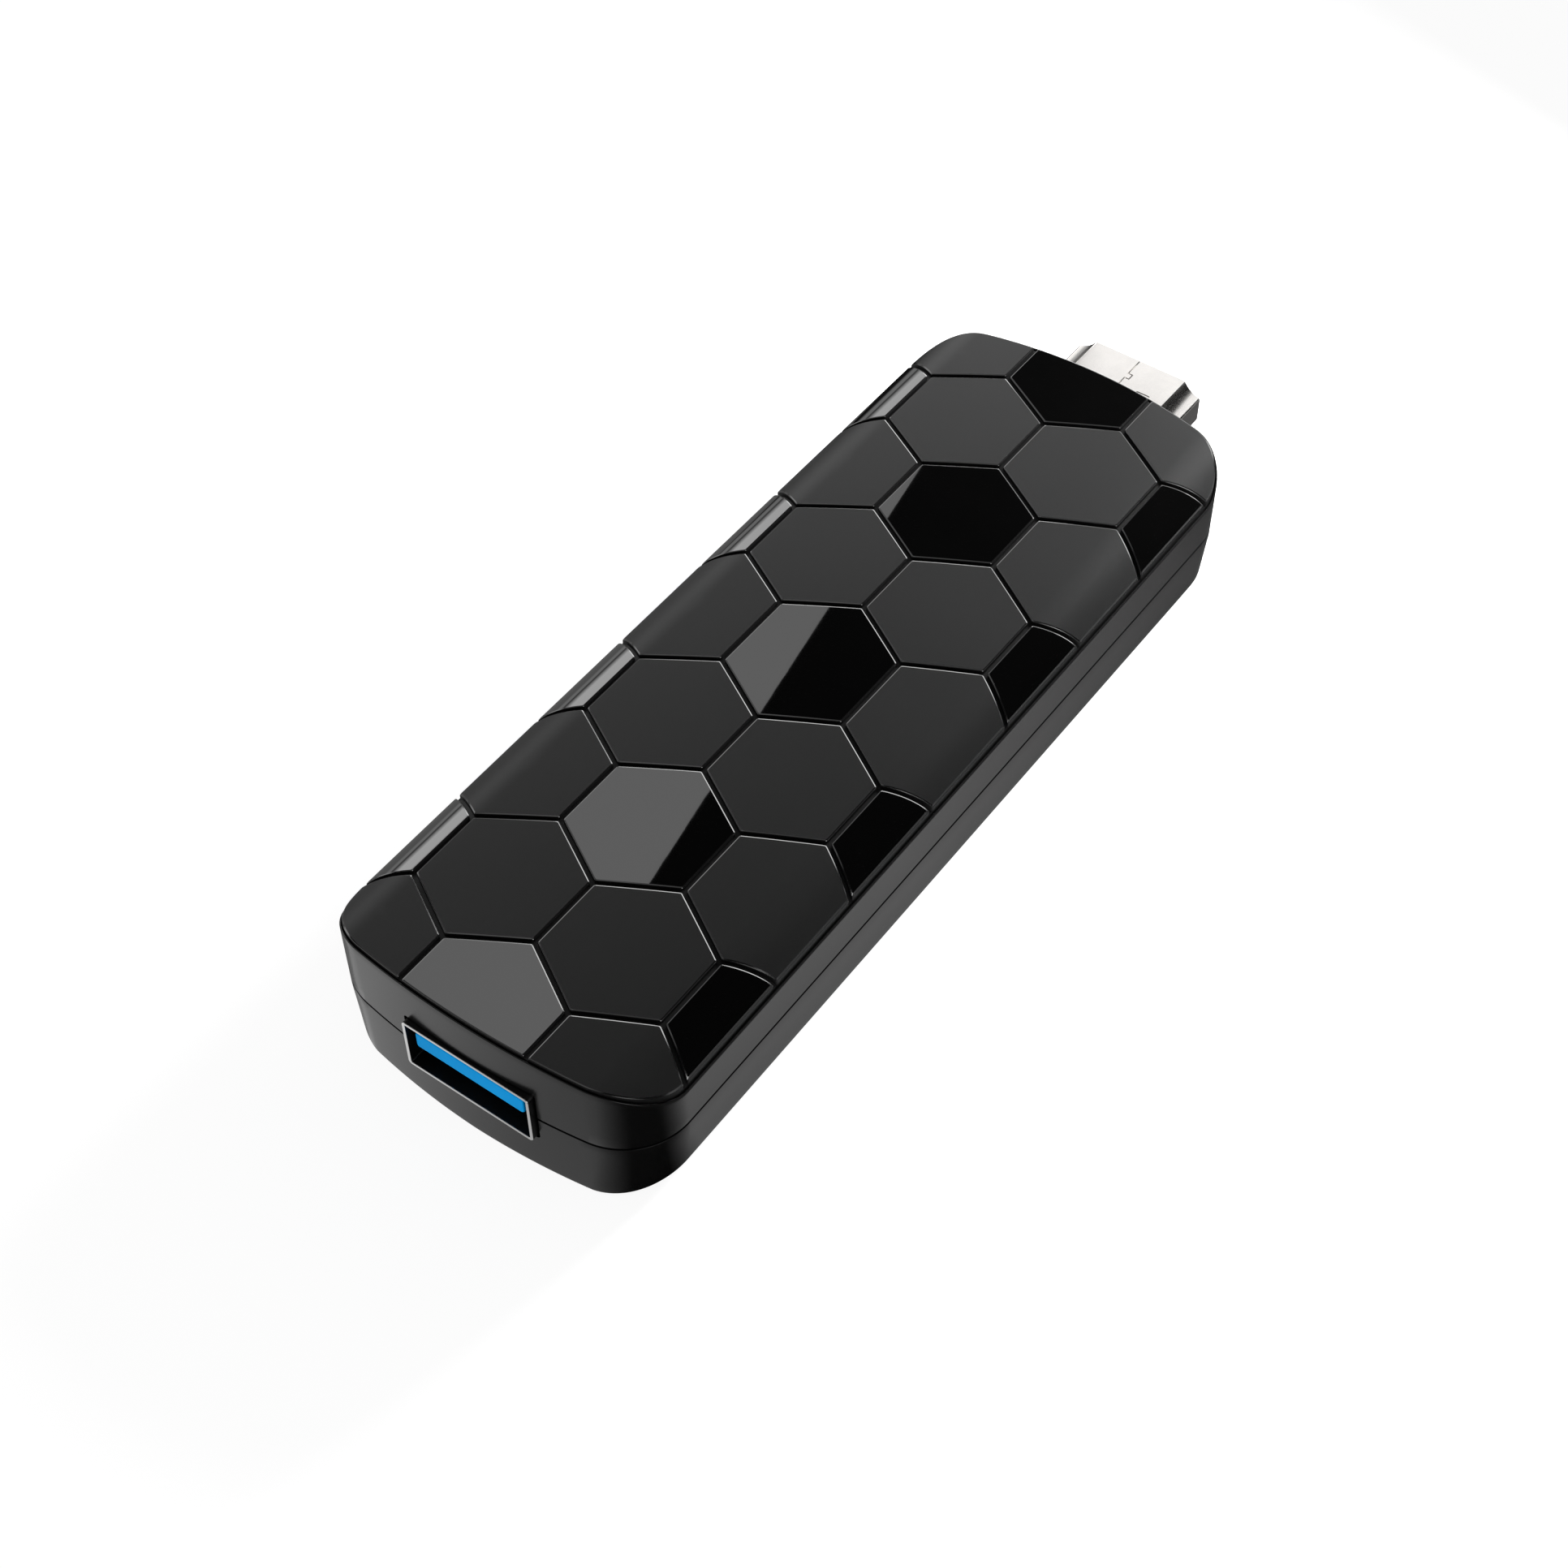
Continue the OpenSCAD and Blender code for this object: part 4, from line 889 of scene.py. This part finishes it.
finishPiece(putMesh("plugContacts", pins), "contact_gold", "hdmi_contacts")
print("video plug made")


# USB port: a folded shell with cut springs, a tongue near its roof, and the tongue's contacts

port = dict(x=0.3, z=7.75, width=13.1, height=5.72, round=0.4, sheet=0.3, front=-47.35, back=-33.15,
            lip=0.05, legX=3.2, legFrom=3, legLength=5.4, legWidth=1.2, legCut=0.2, legDepth=0.6,
            tongueWidth=11.2, tongueHeight=1.84, tongueFront=-47.0, tongueTop=1.71, tongueRound=0.32,
            tongueEdge=0.16, tongueFull=-40.0, tongueBack=-37.1, blockFront=-37.15, blockBack=-33.25,
            springs=(-3.5, -1, 1, 3.5), slotWidth=1.2, slotPlaces=(-45.6, -37.2), slotDepth=0.3,
            springWidth=0.9, springFront=-45.5, springLength=8.15, springUp=(0.1, 0.3), springPoints=25,
            dip=0.36, dipPlace=-44.6, dipWidth=0.62,
            pads=(-4, -2, 0, 2, 4), padWidth=0.7, padPlaces=(-46.8, -45.8), padUp=(-0.08, 0.02))
centre = (port["x"], 0, port["z"])
outer = roundRectLoop((port["width"], port["height"]), port["round"])
innerSize = (port["width"] - 2 * port["sheet"], port["height"] - 2 * port["sheet"])
inner = roundRectLoop(innerSize, port["round"] - port["sheet"])
path = tubePath(-port["back"], -port["front"], port["lip"], -1)
# the lip keeps the bright plating, mark 0; the rest gets near-black plating as painted shade, mark 1
places = np.array([-place for _, _, place in path])
onLip = np.minimum(places, np.roll(places, -1)) >= -port["front"] - port["lip"] - 0.01
marks = np.repeat(np.where(onLip, 0, 1), len(outer)).astype(np.int32)
usbShell = putMesh("usbShell", [carryTube(outer, inner, path, "y", centre)], marks=[marks])
# each of the four leaf springs is freed by two long cuts and one across its end
for sideX in (-1, 1):
    for sideZ in (-1, 1):
        x, y = port["x"] + sideX * port["legX"], port["front"] + port["legFrom"]
        half, cut, yEnd = port["legWidth"] / 2, port["legCut"], y + port["legLength"]
        z0, z1 = sorted(port["z"] + sideZ * (port["height"] / 2 + up) for up in (-port["legDepth"], 0.5))
        carve(usbShell, [box((x - half - cut, y, z0), (x - half, yEnd, z1)),
                         box((x + half, y, z0), (x + half + cut, yEnd, z1))])
        carve(usbShell, [box((x - half - cut / 2, yEnd - cut, z0), (x + half + cut / 2, yEnd, z1))])
finishPiece(usbShell, "port_metal", "usb_shell", made=["port_metal", "port_painted_shade"])

under = port["z"] + port["tongueTop"] - port["tongueHeight"]
loop = roundRectLoop((port["tongueWidth"], port["tongueHeight"]), port["tongueRound"], 6)
path = [(inset, port["tongueFront"] + depth) for inset, depth in rim(port["tongueEdge"])]
path += [(0, port["tongueFull"]), (0, port["tongueBack"])]
middle = port["z"] + port["tongueTop"] - port["tongueHeight"] / 2
tongue = putMesh("usbTongue", [carryLoop(loop, path, "y", (port["x"], 0, middle))])
half, (back, front) = port["slotWidth"] / 2, port["slotPlaces"]
low, high = under - 0.5, under + port["slotDepth"]
carve(tongue, [box((port["x"] + x - half, back, low), (port["x"] + x + half, front, high))
               for x in port["springs"]])
finishPiece(tongue, "tongue_blue", "usb_tongue")
# the block behind the tongue gets the black socket plastic, and its black stands in for painted shade deep
# in the port
blockPath = [(0, port["blockFront"]), (0, port["blockBack"])]
finishPiece(putMesh("usbBlock", [carryLoop(inner, blockPath, "y", centre)]), "socket_black")

# a spring is a flat strip that dips once near its tip by a bell curve; a contact pad is a low rounded plate
y = port["springFront"] + port["springLength"] * np.linspace(0, 1, port["springPoints"])
dip = port["dip"] * np.exp(-((y - port["dipPlace"]) / port["dipWidth"]) ** 2)
low, high = (under + up - dip for up in port["springUp"])
half = port["springWidth"] / 2
contactParts = []
for x in port["springs"]:
    sides = ((-half, low), (half, low), (half, high), (-half, high))
    section = np.stack([np.column_stack([np.full_like(y, port["x"] + x + dx), y, z]) for dx, z in sides], 1)
    caps = [np.tile(section[k].mean(0), (1, 4, 1)) for k in (0, -1)]
    grid = np.concatenate([caps[0], section, caps[1]])
    contactParts.append((grid.reshape(-1, 3), gridQuads(len(grid), 4)))
half, (back, front), (low, high) = port["padWidth"] / 2, port["padPlaces"], port["padUp"]
for x in port["pads"]:
    x += port["x"]
    contactParts.append(roundedBox((x - half, back, under + low), (x + half, front, under + high), 0.03, 2))
finishPiece(putMesh("usbContacts", contactParts), "contact_gold", "usb_contacts")
print("USB port made")


# Power socket: a shell whose two lower corners are cut away, a tongue on a block, and five contacts

socket = dict(y=26.05, z=7.4, width=7.5, height=2.5, sheet=0.25, front=-16.5, back=-11.1, lip=0.08,
              round=0.3, innerRound=0.08, cut=1.05, tongue=((-15.8, -1.85, 1.45), (-11.65, 1.85, 2.05)),
              tongueRound=0.12, blockPlaces=(-12.2, -11.2), contacts=5, pitch=0.65,
              contact=((-15.5, -0.15, 1.33), (-12.2, 0.15, 1.48)), contactRound=0.04)


def socketLoop(inset, r):
    w, top, bend = socket["width"] / 2 - inset, socket["height"] - inset, socket["cut"] + 0.4 * inset
    foot = socket["width"] / 2 - bend
    corners = [(-foot, inset), (foot, inset), (w, bend), (w, top), (-w, top), (-w, bend)]
    return roundedLoop(corners, [r] * 6, 4)


centre = (0, socket["y"], socket["z"])
outer, inner = socketLoop(0, socket["round"]), socketLoop(socket["sheet"], socket["innerRound"])
path = tubePath(-socket["back"], -socket["front"], socket["lip"], -1)
powerShell = putMesh("powerShell", [carryTube(outer, inner, path, "x", centre)])
finishPiece(powerShell, "port_metal", "power_shell")
low, high = np.array(socket["tongue"]) + centre
block = carryLoop(inner, [(0, place) for place in socket["blockPlaces"]], "x", centre)
powerTongue = putMesh("powerTongue", [roundedBox(low, high, socket["tongueRound"]), block])
finishPiece(powerTongue, "socket_black", "power_tongue")
strips = []
for k in range(socket["contacts"]):
    along = (k - (socket["contacts"] - 1) / 2) * socket["pitch"]
    low, high = np.array(socket["contact"]) + centre + (0, along, 0)
    strips.append(roundedBox(low, high, socket["contactRound"], 2))
finishPiece(putMesh("powerContacts", strips), "contact_gold", "power_contacts")


# Reset button: a dished cap, and the flange that keeps it in its hole

button = dict(y=13.0, z=9.56, length=4.4, width=1.9, face=-17.2, flange=-15.18, flangeEnd=-14.68, round=0.22,
              dish=0.06, dishInsets=(0.75, 0.55), dishEdge=0.12, flangeMore=(1.4, 0.5), flangeRound=0.6,
              flangeEdge=0.08, overlap=0.01)
centre = (0, button["y"], button["z"])
face, flange, e = button["face"], button["flange"], button["flangeEdge"]
path = [(inset, face + share * button["dish"]) for inset, share in zip(button["dishInsets"], (1, 0.5))]
path += [(button["round"] + button["dishEdge"], face)]
path += [(inset, face + depth) for inset, depth in rim(button["round"], 5)]
path += [(0, flange + button["overlap"])]
cap = carryLoop(stadiumLoop(button["length"], button["width"]), path, "x", centre)
flangeSize = (button["length"] + button["flangeMore"][0], button["width"] + button["flangeMore"][1])
flangePath = [(e, flange), (0, flange + e), (0, button["flangeEnd"])]
flangePart = carryLoop(roundRectLoop(flangeSize, button["flangeRound"], 6), flangePath, "x", centre)
finishPiece(putMesh("resetButton", [cap, flangePart]), "button_black", "reset_button", body="button")
print("side sockets and button made")


# Openings in the walls, cut round the pieces that stand in them

openings = dict(gap=0.2, round=0.5, buttonGap=0.15, card=(-4.0, 5.35), cardSize=(11.8, 1.3), cardRound=0.3,
                cardRecess=0.05, chamfer=0.12, outside=-19.0, inside=-14.9, powerInside=-14.0,
                beyond=60.0, usbDepth=-33.0, plugDepth=38.4)


def openingLoop(piece, r):
    size = (piece["width"] + 2 * openings["gap"], piece["height"] + 2 * openings["gap"])
    return roundRectLoop(size, r)


def wallCutter(loop, y, z, inner, recess=0.0):
    # straight cutter through the left wall that widens by a small chamfer where it meets the wall's face
    c, wall = openings["chamfer"], recess - halfWidth
    path = [(0, inner), (0, wall + c), (-c, wall), (-c, openings["outside"])]
    return carryLoop(loop, path, "x", (0, y, z))


usbPath = [(0, openings["usbDepth"]), (0, -openings["beyond"])]
usbCutter = carryLoop(openingLoop(port, port["round"]), usbPath, "y", (port["x"], 0, port["z"]))
plugPath = [(0, openings["plugDepth"]), (0, openings["beyond"])]
plugPlace = (plug["x"], 0, plug["z"] + plug["height"] / 2)
plugCutter = carryLoop(openingLoop(plug, openings["round"]), plugPath, "y", plugPlace)
powerCutter = wallCutter(openingLoop(socket, openings["round"]), socket["y"],
                         socket["z"] + socket["height"] / 2, openings["powerInside"])
cardCutter = wallCutter(roundRectLoop(openings["cardSize"], openings["cardRound"]), *openings["card"],
                        openings["inside"], openings["cardRecess"])
hole = (button["length"] + 2 * openings["buttonGap"], button["width"] + 2 * openings["buttonGap"])
buttonCutter = wallCutter(stadiumLoop(*hole), button["y"], button["z"], openings["inside"])
carve(upperPiece, [usbCutter, plugCutter, powerCutter, buttonCutter])
finishPiece(upperPiece, "housing_plastic", "upper_housing")

vent, e = stadiumLoop(lower["ventLength"], lower["ventWidth"], 8), lower["ventEdge"]
ventPath = [(-e, -1), (-e, 0), (0, e), (0, case["floor"] + 1.6)]
ventYs = (np.arange(lower["vents"]) - (lower["vents"] - 1) / 2) * lower["ventPitch"] + lower["ventCentre"]
underCutters = [carryLoop(vent, ventPath, "z", place) for place in bothSides(lower["ventX"], ventYs)]
r, h = pads["radius"] + pads["gap"], pads["height"]
underCutters += [turned([(0, -1), (r, -1), (r, h), (0, h)], place, 64) for place in padPlaces]
carve(lowerPiece, [usbCutter, plugCutter, powerCutter, cardCutter] + underCutters)
finishPiece(lowerPiece, "housing_plastic", "lower_housing")
print("openings cut")


# Nodes of the frame: the finish that bears the name of each node's slot

for part in frame["record"]["subparts"]:
    node, made = frame["nodes"][part["node"]], finishes[part["material_slot"]]
    if len(node.data.materials) == 0:
        node.data.materials.append(made)
    for slot in node.material_slots:
        slot.material = made


# Studio floor, in metres. What metal and gloss see in it is painted light and shade: bright far away, darker
# near the case as a painted shadow, and dark off its front right corner as painted shade. Each range is
# (from, to, level at the first, level at the second).

studio = dict(size=6.0, colour=0.80, shade=0.20, glow=0.90, ambient=0.3,
              right=(0.0169, 0.0235, 0.36, 0.66), rightAlong=(-0.003, 0.045, 1.0, 0.42),
              rightAway=(0.025, 0.031, 1.0, 0.22), front=(-0.018, 0.005, 0.80, 0.44), frontEdge=-0.0455,
              left=0.22, leftEdge=-0.0185, plugLeft=(-0.012, 0.052, 0.1), back=(0.044, 0.054, 1.0, 0.6),
              corner=(0.60, 0.95, 1.0, 0.0), cornerWay=(0.857, -0.515), away=(0.09, 0.14), far=0.4)

square = np.array([(-1, -1, 0), (1, -1, 0), (1, 1, 0), (-1, 1, 0)]) * studio["size"] / 2 / metre
oneQuad = np.array([[0, 1, 2, 3]])
floor = addObject("floor", rawMesh("floor", square, oneQuad))
f = newFinish("floorPale")
toCamera, direct = f.rays()
matt, shade = (f.flow("BsdfDiffuse", {}, {"Color": grey(studio[k])}) for k in ("colour", "shade"))
glow = f.flow("Emission", {}, {"Strength": studio["glow"]})
seen = f.flow("AddShader", {}, {0: shade, 1: glow})
x, y, _ = f.axes()
cx, cy = x - cornerX * metre, y + cornerY * metre
wayX, wayY = studio["cornerWay"]
sector = (cx * wayX + cy * wayY) / (cx * cx + cy * cy + 1e-9) ** 0.5
# painted shade that only metal and gloss see: darker beside the case's right side, front and left, left of
# the plug and towards the back, and a dark sector off the front right corner
atRight = f.ranged(x, *studio["right"]) * f.ranged(y, *studio["rightAlong"])
atRight = atRight * f.ranged(x, *studio["rightAway"])
level = atRight + (y < studio["frontEdge"]) * (f.ranged(x, *studio["front"]) - atRight)
level = level + (x < studio["leftEdge"]) * (y > studio["frontEdge"]) * (studio["left"] - level)
plugX, plugY, kept = studio["plugLeft"]
level = level * (1 - (x < plugX) * (y > plugY) * (1 - kept))
level = level * f.ranged(y, *studio["back"]) * f.ranged(sector, *studio["corner"])
level = level + f.ranged((x * x + y * y) ** 0.5, *studio["away"]) * (studio["far"] - level)
paintedShadeMirror = f.flow("Emission", {}, {"Strength": level})
plain = f.flow("MixShader", {}, {0: direct, 1: matt, 2: paintedShadeMirror})
both = f.flow("MixShader", {}, {0: toCamera, 1: plain, 2: seen})
floor.data.materials.append(f.close("Material", both))


# Studio world: white to the camera; metal and gloss see bright bands under a dark dome.
# A band is its azimuth from +Y towards +X with the half widths where it ends and where it is full,
# the ranges of height that bound it, and its strength.

dome = dict(dark=0.003, zenith=(0.93, 0.96), zenithLevel=0.2)
bands = [
    ((-9, 34, 27), [(0.40, 0.34)], 3.4),
    ((1, 22, 14), [(0.34, 0.40), (0.62, 0.52)], 3.74),
    ((-92, 54, 48), [(0.54, 0.44), (0.05, 0.2, 0.12, 1.0)], 1.12),
    ((114, 22, 14), [(0.6, 0.45)], 2.5),
    ((-115, 60, 48), [(0.66, 0.74)], 0.2),
]
w = Finish(bpy.data.worlds.new("studioWorld"))
bpy.context.scene.world = w.made
toCamera, direct = w.rays()
x, y, rise = w.axes(w.flow("TexCoord", output="Generated"))
flat = (x * x + y * y + 1e-6) ** 0.5
level = w.ranged(rise, *dome["zenith"]) * dome["zenithLevel"] + dome["dark"]
for (azimuth, ends, full), heights, strength in bands:
    a = radians(azimuth)
    cosine = (x * sin(a) + y * cos(a)) / flat
    band = w.ranged(cosine, cos(radians(ends)), cos(radians(full)))
    for height in heights:
        band = band * w.ranged(rise, *height)
    level = level + band * strength
strength = toCamera + (1 - toCamera) * (direct * level + (1 - direct) * studio["ambient"])
w.close("World", w.flow("Background", {}, {"Color": (1, 1, 1, 1), "Strength": strength}))


# Cards that glow, in millimetres, and two lights, in metres

cards = dict(leftNear=(-306.7, 299.0, 1000.0), leftWay=(-0.4939, 0.8695, 0), leftLength=1050, leftWidth=1100,
             leftGlow=0.39, plugX=(-12.8, 16.0), plugNear=(63.1, 29.2), plugFar=(75.1, 16.6), plugGlow=1.05)
lights = dict(key=((0.027, 0.088, 0.055), (0, 0.01, 0), (0.04, 0.04), 0.5),
              front=((0.10, -0.5, 0.05), (0, 0, 0.01), (0.2, 0.06), 1.6))


def glowCard(name, corners, strength):
    card = addObject(name, rawMesh(name, np.array(corners, float), oneQuad))
    g = newFinish(name + "Glow")
    card.data.materials.append(g.close("Material", g.flow("Emission", {}, {"Strength": strength})))
    card.visible_camera = card.visible_shadow = False
    return card


# the card overhead at the left has a straight right edge, which is the line that splits the middle tiles
near, way = np.array(cards["leftNear"]), np.array(cards["leftWay"])
along, away = cards["leftLength"] * way, cards["leftWidth"] * np.array([-way[1], way[0], 0])
glowCard("leftCard", [near, near + along, near + along + away, near + away], cards["leftGlow"])

# the small card close behind the plug shows in the plug's top, and the rays off the tiles pass above it
(x0, x1), near, far = cards["plugX"], cards["plugNear"], cards["plugFar"]
plugCard = glowCard("plugCard", [(x0, *near), (x1, *near), (x1, *far), (x0, *far)], cards["plugGlow"])
plugCard.visible_diffuse = False

# the key light stands close by at the back right; neither light shows in metal or gloss
for name, (place, target, size, power) in lights.items():
    lamp = bpy.data.lights.new(name + "Light", "AREA")
    lamp.shape, lamp.size, lamp.size_y, lamp.energy = "RECTANGLE", *size, power
    light = addObject(name + "Light", lamp)
    light.location = place
    light.rotation_euler = (Vector(target) - Vector(place)).to_track_quat("-Z", "Y").to_euler()
    light.visible_glossy = False


# Camera, at the photo's viewing angle

view = dict(place=(0.09098, -0.12743, 0.18288), right=(0.80889, 0.58793, -0.0059),
            up=(-0.44462, 0.61823, 0.64817), back=(0.38472, -0.52167, 0.76148), lens=60.59, sensor=36.0,
            near=0.005, far=50.0)
lens = bpy.data.cameras.new("camera")
lens.lens, lens.sensor_width, lens.sensor_fit = view["lens"], view["sensor"], "HORIZONTAL"
lens.clip_start, lens.clip_end = view["near"], view["far"]
camera = addObject("camera", lens)
turn = Matrix([Vector(view[k]).normalized() for k in ("right", "up", "back")]).transposed()
camera.matrix_world = Matrix.Translation(view["place"]) @ turn.to_4x4()
bpy.context.scene.camera = camera
bpy.context.scene.view_settings.view_transform = "Standard"
print("studio and camera made")
